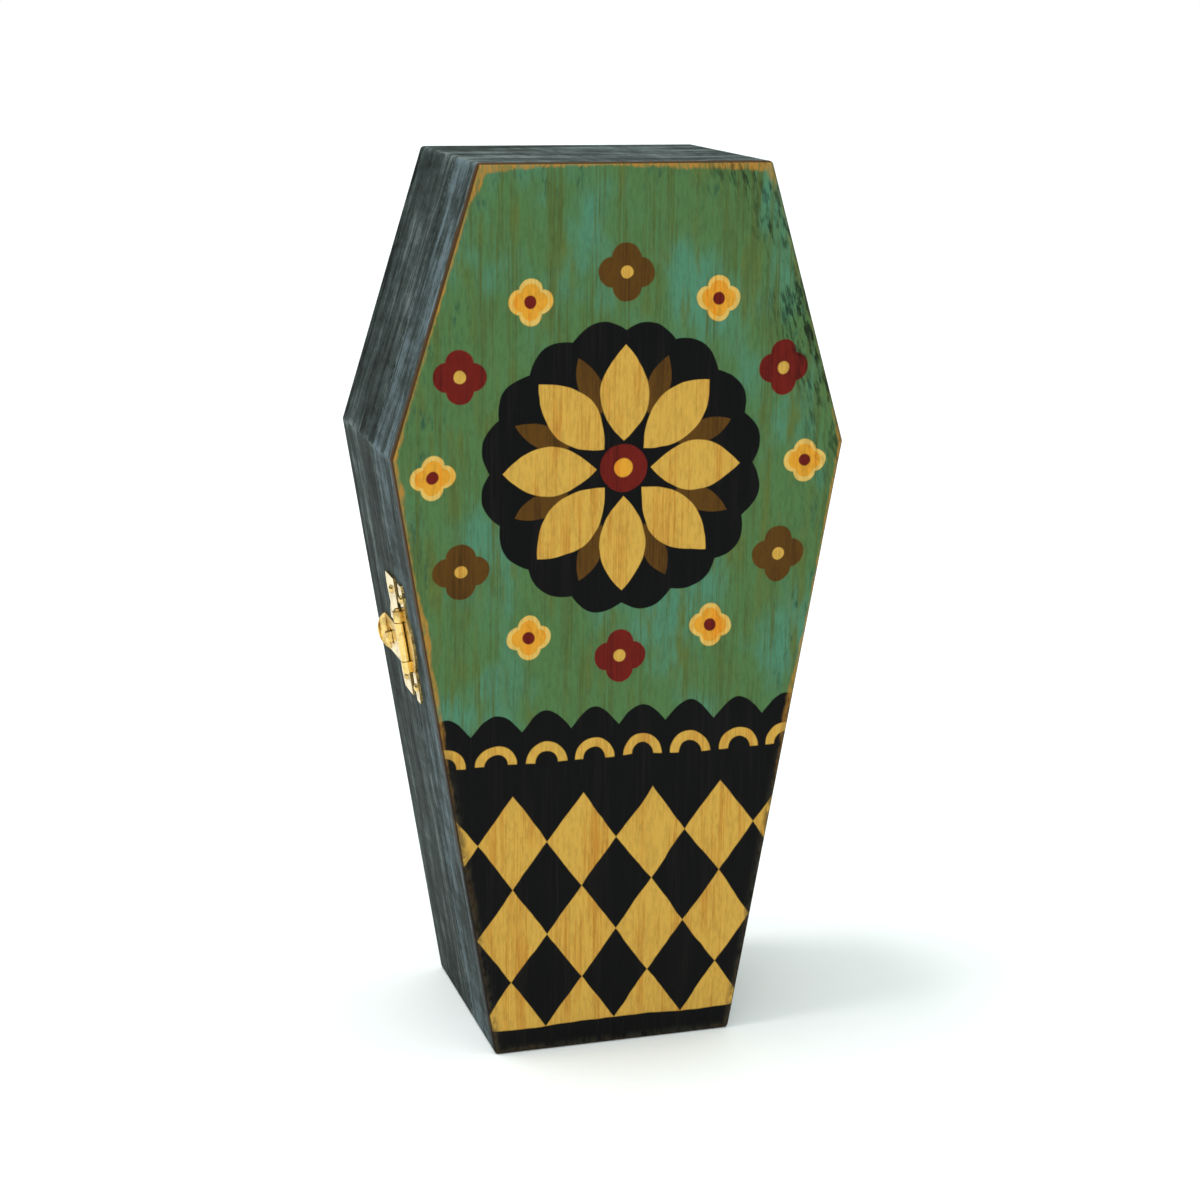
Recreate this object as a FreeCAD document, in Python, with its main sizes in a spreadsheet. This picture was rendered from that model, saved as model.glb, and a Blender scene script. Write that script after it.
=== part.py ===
# A coffin-shaped jack in the box, in millimetres.
# It stands on its narrow foot with +Z up. The lid faces -Y, the hinges are on the right lower side (+X)
# and the hasp is on the left one. The origin is on the table, under the middle of the case.
import FreeCAD, Part
import math
import os
import re
import Sketcher

SIZES = {
    # Case
    "height": 203,
    "top_width": 66,
    "shoulder_width": 104,
    "foot_width": 57,
    "shoulder_height": 140.5,
    "box_depth": 33.5,
    "lid_depth": 20,
    "wall": 6,
    "panel": 3.5,
    "seam_gap": 0.2,
    "corner_round": 1,
    "edge_round": 0.8,
    "seam_round": 0.4,
    # Brass nails
    "nail_radius": 0.5,
    "nail_length": 4.5,
    "nail_head_radius": 1.1,
    "nail_play": 0.03,
    # Rolled knuckles and their pins
    "pin_play": 0.04,
    "pin_head_height": 0.5,
    "pin_head_lip": 0.35,
    "knuckle_gap": 0.25,
    "knuckle_clear": 0.3,
    # Hinges
    "hinge_inset": 30,
    "hinge_length": 16,
    "hinge_leaf_width": 7.5,
    "hinge_leaf_thick": 0.7,
    "hinge_corner_round": 1.2,
    "hinge_knuckle_length": 5.4,
    "hinge_pin_radius": 0.7,
    "hinge_nail_spacing": 10,
    # Hasp
    "hasp_drop": 45.5,
    "hasp_length": 28,
    "hasp_sheet": 0.6,
    "hasp_plate_width": 3,
    "hasp_scallop_rise": 0.8,
    "hasp_lobe_length": 13,
    "hasp_lobe_rise": 3,
    "hasp_nail_spacing": 21,
    "hasp_nail_inset": 1.6,
    "hasp_setback": 2,
    "hasp_pin_radius": 0.6,
    "hasp_knuckle_length": 2.5,
    "flap_width": 9,
    "lip_radius": 1.4,
    "lip_turn": 110,
    "catch_setback": 0.7,
    "catch_plate_width": 8,
    "catch_nail_inset": 4.2,
    "prong_place": 4,
    "prong_thick": 1.4,
    "prong_width": 2.4,
    "prong_height": 4,
    "prong_round": 0.5,
    "slot_play": 0.6,
    "slot_swing": 1.2,
    "slot_edge": 1.8,
    # Spring, its seat and the plate at its front end
    "seat_radius": 15,
    "seat_thick": 3,
    "plate_radius": 12.5,
    "plate_thick": 2.5,
    "coil_radius": 10,
    "coil_turns": 8,
    "coil_gap": 0.5,
    "wire_radius": 0.4,
    "groove_depth": 0.7,
    "groove_play": 0.15,
    # Dowels
    "dowel_radius": 2.5,
    "dowel_play": 0.04,
    "panel_bite": 2,
    "body_bite": 6,
    "neck_radius": 3,
    "neck_bite": 7,
    # Jack
    "head_room": 18,
    "spring_on_jack": 38,
    "jack_body_height": 58,
    "jack_base_radius": 13.5,
    "jack_base_height": 3,
    "jack_shoulder_radius": 9,
    "jack_shoulder_height": 7,
    "jack_shoulder_rise": 1.2,
    "jack_waist_rise": 2.2,
    "jack_flat": 8,
    "arm_radius": 2.2,
    "arm_length": 14,
    "arm_bite": 5,
    "arm_drop": 10,
    "arm_lift": 30,
    "hand_radius": 3.4,
    "collar_radius": 10.5,
    "collar_petals": 12,
    "collar_petal_rise": 1.6,
    "collar_thick": 2,
    "head_radius": 13,
    "head_flat_radius": 5,
    "nose_radius": 2.2,
    "nose_rise": 1.9,
    "nose_peg_radius": 1,
    "nose_peg_length": 4,
    "cap_radius": 11,
    "cap_brim": 1.6,
    "cap_brim_thick": 2,
    "cap_height": 17,
    "cap_tip_radius": 1.5,
    "cap_hollow": 2,
    "cap_glue": 0.05,
    "bobble_radius": 2.8,
}

DOME_CUT = 30
BOBBLE_CUT = -60
BIARCS_PER_TURN = 4
GAP_POINTS_PER_TURN = 48

ALIASES = re.compile(r"\b(" + "|".join(sorted(SIZES, key=len, reverse=True)) + r")\b")

doc = FreeCAD.newDocument("JackInTheBox")
sheet = doc.addObject("Spreadsheet::Sheet", "Sizes")
for row, (alias, number) in enumerate(SIZES.items(), 1):
    sheet.set(f"A{row}", alias)
    sheet.set(f"B{row}", str(number))
    sheet.setAlias(f"B{row}", alias)
doc.recompute()

sub_parts = {}


def named(text):
    """The text of a size as the other objects of the document read it."""
    return ALIASES.sub(r"Sizes.\1", text)


def value(text):
    """What the text of a size comes to, in millimetres."""
    return float(sheet.evalExpression(text))


def bind(thing, property_name, text):
    thing.setExpression(property_name, named(text))


def place(thing, x, y, z, turn="rotationz(0 deg)"):
    bind(thing, "Placement", f"placement(vector({x}; {y}; {z}); {turn})")


def keep(label, thing):
    """Count this object as the sub-part of that name."""
    thing.Label = label
    sub_parts[label] = thing
    return thing


def new_body(name):
    return doc.addObject("PartDesign::Body", name)


def new_sketch(body, plane, offset="0"):
    """A sketch on one of the body's own planes, moved along the plane's normal."""
    sketch = body.newObject("Sketcher::SketchObject", "Sketch")
    support = next(item for item in body.Origin.OriginFeatures if item.Role == plane)
    sketch.AttachmentSupport = [(support, "")]
    sketch.MapMode = "FlatFace"
    bind(sketch, "AttachmentOffset.Base.z", offset)
    return sketch


def fix(sketch, kind, geometry, position, text):
    """A constraint of a sketch that follows the sheet."""
    if position:
        number = sketch.addConstraint(Sketcher.Constraint(kind, geometry, position, value(text)))
    else:
        number = sketch.addConstraint(Sketcher.Constraint(kind, geometry, value(text)))
    bind(sketch, f"Constraints[{number}]", text)


def draw_circle(sketch, across, up, radius):
    centre = FreeCAD.Vector(value(across), value(up))
    circle = Part.Circle(centre, FreeCAD.Vector(0, 0, 1), value(radius))
    geometry = sketch.addGeometry(circle)
    fix(sketch, "DistanceX", geometry, 3, across)
    fix(sketch, "DistanceY", geometry, 3, up)
    fix(sketch, "Radius", geometry, 0, radius)


def draw_outline(sketch, corners):
    """A closed outline through corners, each (across, up) or (across, up, rise).

    A rise makes the edge to the next corner an arc that stands that far from its chord: to the right of
    the way along where the rise is positive, to the left where it is negative.
    """
    points = [FreeCAD.Vector(value(corner[0]), value(corner[1])) for corner in corners]
    edges = []
    for number, corner in enumerate(corners):
        following = (number + 1) % len(corners)
        start, finish = points[number], points[following]
        if len(corner) == 2:
            edges.append((sketch.addGeometry(Part.LineSegment(start, finish)), 1, 2))
            continue
        rise = value(corner[2])
        along = finish - start
        aside = FreeCAD.Vector(along.y, -along.x).normalize()
        middle = (start + finish) * 0.5 + aside * rise
        if rise > 0:
            edges.append((sketch.addGeometry(Part.Arc(start, middle, finish)), 1, 2))
        else:
            edges.append((sketch.addGeometry(Part.Arc(finish, middle, start)), 2, 1))
        run = f"(({corners[following][0]}) - ({corner[0]}))"
        climb = f"(({corners[following][1]}) - ({corner[1]}))"
        chord_squared = f"({run}^2 + {climb}^2)"
        radius = f"{chord_squared} / (8 * abs({corner[2]})) + abs({corner[2]}) / 2"
        fix(sketch, "Radius", edges[-1][0], 0, radius)
    for number, (geometry, first, last) in enumerate(edges):
        before, _, before_last = edges[number - 1]
        sketch.addConstraint(Sketcher.Constraint("Coincident", before, before_last, geometry, first))
        fix(sketch, "DistanceX", geometry, first, corners[number][0])
        fix(sketch, "DistanceY", geometry, first, corners[number][1])


def draw_box(sketch, left, right, low, high):
    draw_outline(sketch, [(left, low), (right, low), (right, high), (left, high)])


def pad(body, sketch, length, symmetric=False):
    feature = body.newObject("PartDesign::Pad", "Pad")
    feature.Profile = sketch
    feature.SideType = "Symmetric" if symmetric else "One side"
    bind(feature, "Length", length)
    doc.recompute()
    return feature


def pocket(body, sketch, length=None, symmetric=False, forward=False):
    """A cut along the sketch's normal if forward, against it if not, right through if it has no length."""
    volume_before = body.Shape.Volume
    feature = body.newObject("PartDesign::Pocket", "Pocket")
    feature.Profile = sketch
    feature.SideType = "Symmetric" if symmetric else "One side"
    feature.Reversed = forward
    if length:
        bind(feature, "Length", length)
    else:
        feature.Type = "ThroughAll"
    doc.recompute()
    if body.Shape.Volume >= volume_before:
        raise RuntimeError(f"a pocket of {body.Name} cuts nothing")
    return feature


def cap_arc(rim_radius, height):
    """The rise of the arc that turns into a round cap of this rim and height, from its rim to its pole."""
    chord_squared = f"(({rim_radius})^2 + ({height})^2)"
    ball_radius = f"({chord_squared} / (2 * ({height})))"
    return f"({ball_radius} - sqrt({ball_radius}^2 - {chord_squared} / 4))"


def turned(name, corners):
    """A body turned about its own Z axis, from half of its section as corners of (radius, height)."""
    body = new_body(name)
    sketch = new_sketch(body, "XZ_Plane")
    draw_outline(sketch, corners)
    feature = body.newObject("PartDesign::Revolution", "Revolution")
    feature.Profile = sketch
    feature.ReferenceAxis = (sketch, ["V_Axis"])
    doc.recompute()
    return body


def round_edges(body, radius, chosen):
    """Round the edges of the body so far that chosen accepts."""
    base = body.Tip
    names = [f"Edge{number}" for number, edge in enumerate(base.Shape.Edges, 1) if chosen(edge)]
    feature = body.newObject("PartDesign::Fillet", "Fillet")
    feature.Base = (base, names)
    bind(feature, "Radius", radius)
    doc.recompute()


def lies_at(axis, text):
    """A test for edges that lie wholly at one place along an axis."""
    place_along = value(text)
    return lambda edge: all(abs(getattr(vertex.Point, axis) - place_along) < 1e-6 for vertex in edge.Vertexes)


def runs_along(axis):
    """A test for straight edges along an axis."""
    return lambda edge: (
        edge.Curve.TypeId == "Part::GeomLine"
        and abs(getattr(edge.tangentAt(edge.FirstParameter), axis)) > 0.999999
    )


def common(name, base, tool):
    thing = doc.addObject("Part::Common", name)
    thing.Base = base
    thing.Tool = tool
    return thing


def group(name, things):
    thing = doc.addObject("Part::Compound", name)
    thing.Links = things
    return thing


# Planes of the case

BACK = "((box_depth + lid_depth) / 2)"
FRONT = "(-(box_depth + lid_depth) / 2)"
SEAM = "((lid_depth - box_depth) / 2)"
BOX_BACK = f"({BACK} - panel)"
BOX_FRONT = f"({SEAM} + seam_gap / 2)"
LID_BACK = f"({SEAM} - seam_gap / 2)"
LID_FRONT = f"({FRONT} + panel)"

# How far the lower and the upper sides lean from upright

LOWER_LEAN = "atan((shoulder_width - foot_width) / 2 / shoulder_height)"
UPPER_LEAN = "atan((shoulder_width - top_width) / 2 / (height - shoulder_height))"

# Corners of the six-sided outline on its right half, outside and inside the walls

INNER_SHOULDER = (
    f"(((top_width - foot_width) / 2 + height * tan({UPPER_LEAN}) - wall / cos({UPPER_LEAN})"
    f" + wall / cos({LOWER_LEAN})) / (tan({UPPER_LEAN}) + tan({LOWER_LEAN})))"
)
OUTER = {
    "foot": ("(foot_width / 2)", "0"),
    "shoulder": ("(shoulder_width / 2)", "shoulder_height"),
    "top": ("(top_width / 2)", "height"),
}
INNER = {
    "foot": (f"(foot_width / 2 + wall * tan({LOWER_LEAN}) - wall / cos({LOWER_LEAN}))", "wall"),
    "shoulder": (
        f"(foot_width / 2 + {INNER_SHOULDER} * tan({LOWER_LEAN}) - wall / cos({LOWER_LEAN}))",
        INNER_SHOULDER,
    ),
    "top": (f"(top_width / 2 + wall * tan({UPPER_LEAN}) - wall / cos({UPPER_LEAN}))", "(height - wall)"),
}
ROUND_THE_CASE = [
    ("left", "foot"),
    ("right", "foot"),
    ("right", "shoulder"),
    ("right", "top"),
    ("left", "top"),
    ("left", "shoulder"),
]
SIDES_OF_THE_CASE = ["foot", "lower_right", "upper_right", "top", "upper_left", "lower_left"]


def corner_of(table, side, which):
    across, up = table[which]
    return (across if side == "right" else f"(-{across})", up)


def slab(name, corners, back, front):
    """A board whose outline faces the front, from one depth to another."""
    body = new_body(name)
    sketch = new_sketch(body, "XZ_Plane", f"-{back}")
    draw_outline(sketch, corners)
    pad(body, sketch, f"{back} - {front}")
    return body


def whole_outline():
    return [corner_of(OUTER, side, which) for side, which in ROUND_THE_CASE]


def rounded_slab(name, back, front, rim, rim_round):
    """A board of the whole outline with its corners rounded, and its edge at the rim eased."""
    body = slab(name, whole_outline(), back, front)
    round_edges(body, "corner_round", runs_along("y"))
    round_edges(body, rim_round, lies_at("y", rim))
    return body


def mitred_frame(prefix, kind, back, front, seam):
    """Six boards mitred into a frame, with one sanded outline."""
    sanded = rounded_slab(f"{prefix}_outline", back, front, seam, "seam_round")
    boards = {}
    for number, name in enumerate(SIDES_OF_THE_CASE):
        here = ROUND_THE_CASE[number]
        there = ROUND_THE_CASE[(number + 1) % len(ROUND_THE_CASE)]
        corners = [
            corner_of(OUTER, *here),
            corner_of(OUTER, *there),
            corner_of(INNER, *there),
            corner_of(INNER, *here),
        ]
        label = f"{prefix}_{name}_{kind}"
        board = slab(f"{label}_board", corners, back, front)
        boards[name] = keep(label, common(f"{label}_sanded", board, sanded))
    return boards


# Hardware on the two lower sides is placed in a frame of its own: X out of the side, Z up along it from
# the foot, and Y across the seam. On the left the frame is turned round, so there Y points to the lid.

HALF_TURN = {"right": "rotationz(0 deg)", "left": "rotationz(180 deg)"}
SIGN = {"right": "", "left": "-"}
LOWER_RUN = f"(shoulder_height / cos({LOWER_LEAN}))"


def place_on_side(thing, side, along, out="0", back="0", pointing_out=False):
    """Put a thing on a lower side, so far up it, out of it and back from the seam."""
    x = f"{SIGN[side]}(foot_width / 2 + {along} * sin({LOWER_LEAN}) + {out} * cos({LOWER_LEAN}))"
    y = f"{SEAM} + {back}"
    z = f"{along} * cos({LOWER_LEAN}) - {out} * sin({LOWER_LEAN})"
    tilt = f"{LOWER_LEAN} + 90 deg" if pointing_out else LOWER_LEAN
    place(thing, x, y, z, f"{HALF_TURN[side]} * rotationy({tilt})")


def nail(side, along, back, sheet_thick):
    """A round-headed nail through a sheet of brass into the wood."""
    shank = doc.addObject("Part::Cylinder", "NailShank")
    bind(shank, "Radius", "nail_radius")
    bind(shank, "Height", "nail_length + nail_radius / 2")
    place_on_side(shank, side, along, f"({sheet_thick} - nail_length)", back, pointing_out=True)
    dome_radius = f"(nail_head_radius / cos({DOME_CUT} deg))"
    head = doc.addObject("Part::Sphere", "NailHead")
    head.Angle1 = DOME_CUT
    bind(head, "Radius", dome_radius)
    dome_centre = f"({sheet_thick} - {dome_radius} * sin({DOME_CUT} deg))"
    place_on_side(head, side, along, dome_centre, back, pointing_out=True)
    whole = doc.addObject("Part::Fuse", "Nail")
    whole.Base = shank
    whole.Tool = head
    return whole


def nail_hole(side, along, back, sheet_thick):
    """The hole that a nail leaves in the wood."""
    hole = doc.addObject("Part::Cylinder", "NailHole")
    bind(hole, "Radius", "nail_radius + nail_play")
    bind(hole, "Height", "nail_length + nail_play")
    place_on_side(hole, side, along, f"({sheet_thick} - nail_length - nail_play)", back, pointing_out=True)
    return hole


def nailed(nails_label, board, board_label, spots):
    """Drive nails into a board, at spots of (side, along, back, sheet_thick)."""
    keep(nails_label, group(f"{nails_label}_group", [nail(*spot) for spot in spots]))
    drilled = doc.addObject("Part::Cut", f"{board_label}_drilled")
    drilled.Base = board
    drilled.Tool = group(f"{board_label}_holes", [nail_hole(*spot) for spot in spots])
    keep(board_label, drilled)


def draw_rolled_knuckle(sketch, pin_radius, sheet_thick, centre, end, way):
    """The section of a sheet that lies on the side and rolls up round a pin, and the pin's bore."""
    bore = f"({pin_radius} + pin_play)"
    outside = f"({bore} + {sheet_thick})"
    leaves_roll = f"({centre} + {way} * sqrt({outside}^2 - {bore}^2))"
    roll = f"{way} * ({outside} + sqrt({outside}^2 - {outside} * {sheet_thick} / 2))"
    draw_outline(sketch, [("0", centre, roll), (sheet_thick, leaves_roll), (sheet_thick, end), ("0", end)])
    draw_circle(sketch, outside, centre, bore)


def headed_pin(label, radius, length):
    """A pin with a peened head at each end."""
    neck = f"({length} / 2 + pin_play)"
    end = f"({length} / 2 + pin_play + pin_head_height)"
    rim = f"({radius} + pin_head_lip)"
    crown = "pin_head_height / 4"
    return keep(
        label,
        turned(
            f"{label}_body",
            [
                ("0", f"-{end}"),
                (radius, f"-{end}", crown),
                (rim, f"-{neck}"),
                (radius, f"-{neck}"),
                (radius, neck),
                (rim, neck, crown),
                (radius, end),
                ("0", end),
            ],
        ),
    )


# Hinges: two small butt hinges of brass sheet on the right lower side

KNUCKLE = "(hinge_pin_radius + pin_play + hinge_leaf_thick)"
ROLL = f"(2 * {KNUCKLE})"
LEAF_START = f"({KNUCKLE} + knuckle_clear)"
LEAF_END = f"({LEAF_START} + hinge_leaf_width)"
LEAF_MIDDLE = f"({LEAF_START} + hinge_leaf_width / 2)"
HINGES = {"lower_hinge": "hinge_inset", "upper_hinge": f"({LOWER_RUN} - hinge_inset)"}
HINGE_NAIL_OFFSETS = ("-hinge_nail_spacing / 2", "hinge_nail_spacing / 2")


def is_free_corner(text):
    """A test for the edges through the sheet at a leaf's two free corners."""
    at_edge = lies_at("y", text)
    through_sheet = runs_along("x")
    return lambda edge: at_edge(edge) and through_sheet(edge)


def hinge_leaf(label, along, on_lid):
    """A leaf with its middle knuckle if it is the lid's, or with the two outer ones if it is the box's."""
    way = "-1" if on_lid else "1"
    body = new_body(f"{label}_body")
    section = new_sketch(body, "XY_Plane")
    draw_rolled_knuckle(
        section, "hinge_pin_radius", "hinge_leaf_thick", "0", f"({way} * {LEAF_START})", way
    )
    if on_lid:
        pad(body, section, "hinge_knuckle_length", symmetric=True)
    else:
        pad(body, section, "hinge_length", symmetric=True)
        notch = new_sketch(body, "XY_Plane")
        draw_box(notch, f"-{KNUCKLE}", f"{ROLL} + {KNUCKLE}", f"-{ROLL}", LEAF_START)
        pocket(body, notch, "hinge_knuckle_length + 2 * knuckle_gap", symmetric=True)
    plate = new_sketch(body, "YZ_Plane")
    edges = [f"{way} * {LEAF_START}", f"{way} * {LEAF_END}"]
    left, right = sorted(edges, key=value)
    draw_box(plate, left, right, "-hinge_length / 2", "hinge_length / 2")
    pad(body, plate, "hinge_leaf_thick")
    round_edges(body, "hinge_corner_round", is_free_corner(f"{way} * {LEAF_END}"))
    holes = new_sketch(body, "YZ_Plane")
    for offset in HINGE_NAIL_OFFSETS:
        draw_circle(holes, f"{way} * {LEAF_MIDDLE}", offset, "nail_radius + nail_play")
    pocket(body, holes, forward=True)
    place_on_side(body, "right", along)
    keep(label, body)


def hinge_nail_spots(back):
    return [
        ("right", f"({along} + {offset})", back, "hinge_leaf_thick")
        for along in HINGES.values()
        for offset in HINGE_NAIL_OFFSETS
    ]


def make_hinges():
    for name, along in HINGES.items():
        hinge_leaf(f"{name}_box_leaf", along, on_lid=False)
        hinge_leaf(f"{name}_lid_leaf", along, on_lid=True)
        pin = headed_pin(f"{name}_pin", "hinge_pin_radius", "hinge_length")
        place_on_side(pin, "right", along, KNUCKLE)


# Hasp: a brass plate with a hinged flap on the lid, and a plate with a prong on the box

HASP_ALONG = f"({LOWER_RUN} - hasp_drop)"
HASP_BORE = "(hasp_pin_radius + pin_play)"
HASP_KNUCKLE = f"({HASP_BORE} + hasp_sheet)"
HASP_PLATE_START = f"(hasp_setback + {HASP_KNUCKLE} + knuckle_clear)"
FLAP_ROOM = "(flap_width + 2 * knuckle_gap)"
HASP_ROLL_LENGTH = f"({FLAP_ROOM} + 2 * hasp_knuckle_length)"
FLAP_TOP = f"(2 * {HASP_KNUCKLE})"
FLAP_UNDER = f"({FLAP_TOP} - hasp_sheet)"
SLOT_FRONT = "(prong_place - prong_thick / 2 - slot_play)"
SLOT_BACK = "(prong_place + prong_thick / 2 + slot_swing)"
FLAP_BEND = f"({SLOT_BACK} + slot_edge)"
SLOT_HALF_WIDTH = "(prong_width / 2 + slot_play)"
HASP_NAIL_OFFSETS = ("-hasp_nail_spacing / 2", "hasp_nail_spacing / 2")


def scalloped_plate(body, start, width, nail_inset, way):
    """A square-ended plate with a straight edge along the seam and three scallops along its free edge."""
    edge = f"({start} + {way} * {width})"
    end = "hasp_length / 2"
    shoulder = "hasp_lobe_length / 2"
    plate = new_sketch(body, "YZ_Plane")
    draw_outline(
        plate,
        [
            (start, f"-{end}"),
            (edge, f"-{end}", f"{way} * hasp_scallop_rise"),
            (edge, f"-{shoulder}", f"{way} * hasp_lobe_rise"),
            (edge, shoulder, f"{way} * hasp_scallop_rise"),
            (edge, end),
            (start, end),
        ],
    )
    pad(body, plate, "hasp_sheet")
    holes = new_sketch(body, "YZ_Plane")
    for offset in HASP_NAIL_OFFSETS:
        draw_circle(holes, f"{start} + {way} * {nail_inset}", offset, "nail_radius + nail_play")
    pocket(body, holes, forward=True)


def make_hasp_plate():
    body = new_body("hasp_plate_body")
    section = new_sketch(body, "XY_Plane")
    draw_rolled_knuckle(section, "hasp_pin_radius", "hasp_sheet", "hasp_setback", HASP_PLATE_START, "1")
    pad(body, section, HASP_ROLL_LENGTH, symmetric=True)
    notch = new_sketch(body, "XY_Plane")
    draw_box(
        notch,
        f"-{HASP_KNUCKLE}",
        f"{FLAP_TOP} + {HASP_KNUCKLE}",
        f"hasp_setback - {FLAP_TOP}",
        HASP_PLATE_START,
    )
    pocket(body, notch, FLAP_ROOM, symmetric=True)
    scalloped_plate(body, HASP_PLATE_START, "hasp_plate_width", "hasp_nail_inset", "1")
    place_on_side(body, "left", HASP_ALONG)
    keep("hasp_plate", body)


def make_catch_plate():
    body = new_body("catch_plate_body")
    scalloped_plate(body, "-catch_setback", "catch_plate_width", "catch_nail_inset", "-1")
    prong = new_sketch(body, "YZ_Plane")
    draw_box(
        prong,
        "-prong_place - prong_thick / 2",
        "-prong_place + prong_thick / 2",
        "-prong_width / 2",
        "prong_width / 2",
    )
    pad(body, prong, "prong_height")
    round_edges(body, "prong_round", lies_at("x", "prong_height"))
    place_on_side(body, "left", HASP_ALONG)
    keep("catch_plate", body)


def make_hasp_flap():
    """The flap is one strip: rolled round the pin, slotted for the prong and curled up at its round end."""
    inside, outside = "lip_radius", "(lip_radius + hasp_sheet)"
    bend_across = f"({FLAP_TOP} + lip_radius)"
    bend_rise = "(1 - cos(lip_turn / 2 * 1 deg))"

    def on_lip(radius):
        return (
            f"({bend_across} - {radius} * cos(lip_turn * 1 deg))",
            f"(-{FLAP_BEND} - {radius} * sin(lip_turn * 1 deg))",
        )

    strip = new_body("hasp_flap_strip")
    section = new_sketch(strip, "XY_Plane")
    roll = f"({HASP_KNUCKLE} + sqrt({HASP_KNUCKLE}^2 - {HASP_KNUCKLE} * hasp_sheet / 2))"
    leaves_roll = f"(hasp_setback - sqrt({HASP_KNUCKLE}^2 - {HASP_BORE}^2))"
    draw_outline(
        section,
        [
            (FLAP_TOP, "hasp_setback", roll),
            (FLAP_UNDER, leaves_roll),
            (FLAP_UNDER, f"(-{FLAP_BEND})", f"{outside} * {bend_rise}"),
            on_lip(outside),
            (*on_lip(inside), f"-{inside} * {bend_rise}"),
            (FLAP_TOP, f"(-{FLAP_BEND})"),
        ],
    )
    draw_circle(section, HASP_KNUCKLE, "hasp_setback", HASP_BORE)
    pad(strip, section, "flap_width", symmetric=True)
    slot = new_sketch(strip, "YZ_Plane")
    draw_box(slot, f"-{SLOT_BACK}", f"-{SLOT_FRONT}", f"-{SLOT_HALF_WIDTH}", SLOT_HALF_WIDTH)
    pocket(strip, slot, forward=True)
    place_on_side(strip, "left", HASP_ALONG)
    tongue = new_body("hasp_flap_tongue")
    outline = new_sketch(tongue, "XZ_Plane")
    lip_rise = f"({on_lip(outside)[0]} - {FLAP_TOP})"
    draw_outline(
        outline,
        [
            (f"-{HASP_KNUCKLE}", "-flap_width / 2"),
            (FLAP_TOP, "-flap_width / 2", lip_rise),
            (FLAP_TOP, "flap_width / 2"),
            (f"-{HASP_KNUCKLE}", "flap_width / 2"),
        ],
    )
    flap_reach = f"({FLAP_BEND} + {outside} + hasp_setback + {HASP_KNUCKLE})"
    pad(tongue, outline, f"2 * {flap_reach}", symmetric=True)
    place_on_side(tongue, "left", HASP_ALONG)
    keep("hasp_flap", common("hasp_flap_cut", strip, tongue))


def hasp_nail_spots(back):
    return [("left", f"({HASP_ALONG} + {offset})", back, "hasp_sheet") for offset in HASP_NAIL_OFFSETS]


def make_hasp():
    make_hasp_plate()
    make_catch_plate()
    make_hasp_flap()
    pin = headed_pin("hasp_pin", "hasp_pin_radius", HASP_ROLL_LENGTH)
    place_on_side(pin, "left", HASP_ALONG, HASP_KNUCKLE, "-hasp_setback")


# Case: two mitred frames with a board glued to each, the hinges and the hasp nailed on


def make_case():
    walls = mitred_frame("box", "wall", BOX_BACK, BOX_FRONT, BOX_FRONT)
    rails = mitred_frame("lid", "rail", LID_BACK, LID_FRONT, LID_BACK)
    keep("front_panel", rounded_slab("front_panel_board", LID_FRONT, FRONT, FRONT, "edge_round"))
    back_panel = rounded_slab("back_panel_board", BACK, BOX_BACK, BACK, "edge_round")
    dowel_hole = new_sketch(back_panel, "XZ_Plane", f"-{BOX_BACK}")
    draw_circle(dowel_hole, "0", SPRING_UP, "dowel_radius + dowel_play")
    pocket(back_panel, dowel_hole, "panel_bite + dowel_play")
    keep("back_panel", back_panel)
    nailed("hinge_box_nails", walls["lower_right"], "box_lower_right_wall", hinge_nail_spots(LEAF_MIDDLE))
    lid_leaf_middle = f"(-{LEAF_MIDDLE})"
    nailed("hinge_lid_nails", rails["lower_right"], "lid_lower_right_rail", hinge_nail_spots(lid_leaf_middle))
    catch_nail_back = "(catch_setback + catch_nail_inset)"
    hasp_nail_back = f"(-{HASP_PLATE_START} - hasp_nail_inset)"
    nailed("catch_nails", walls["lower_left"], "box_lower_left_wall", hasp_nail_spots(catch_nail_back))
    nailed("hasp_nails", rails["lower_left"], "lid_lower_left_rail", hasp_nail_spots(hasp_nail_back))


# Spring: wound wire between two turned discs, each with a groove that the end turn is glued into

TOWARDS_LID = "rotationx(90 deg)"
TOWARDS_BACK = "rotationx(-90 deg)"
PITCH = "(2 * wire_radius + coil_gap)"
COIL_IN_GROOVE = "(groove_depth - wire_radius - groove_play)"
SEAT_FACE = f"({BOX_BACK} - seat_thick)"
COIL_START = f"({SEAT_FACE} + {COIL_IN_GROOVE})"
PLATE_FACE = f"({COIL_START} - coil_turns * {PITCH} + {COIL_IN_GROOVE})"
PLATE_FRONT = f"({PLATE_FACE} - plate_thick)"
HEAD_SEAT = "sqrt(head_radius^2 - head_flat_radius^2)"
CAP_TIP = "(head_radius + cap_height)"
BOBBLE_SEAT = f"(bobble_radius * sin({-BOBBLE_CUT} deg))"
HEAD_ON_JACK = f"(jack_body_height + collar_thick + {HEAD_SEAT})"
JACK_TALL = f"({HEAD_ON_JACK} + {CAP_TIP} + {BOBBLE_SEAT} + bobble_radius)"
JACK_BASE = f"(height - wall - head_room - {JACK_TALL})"
JACK_MIDDLE = f"({PLATE_FRONT} - jack_flat)"
SPRING_UP = f"({JACK_BASE} + spring_on_jack)"


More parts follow.
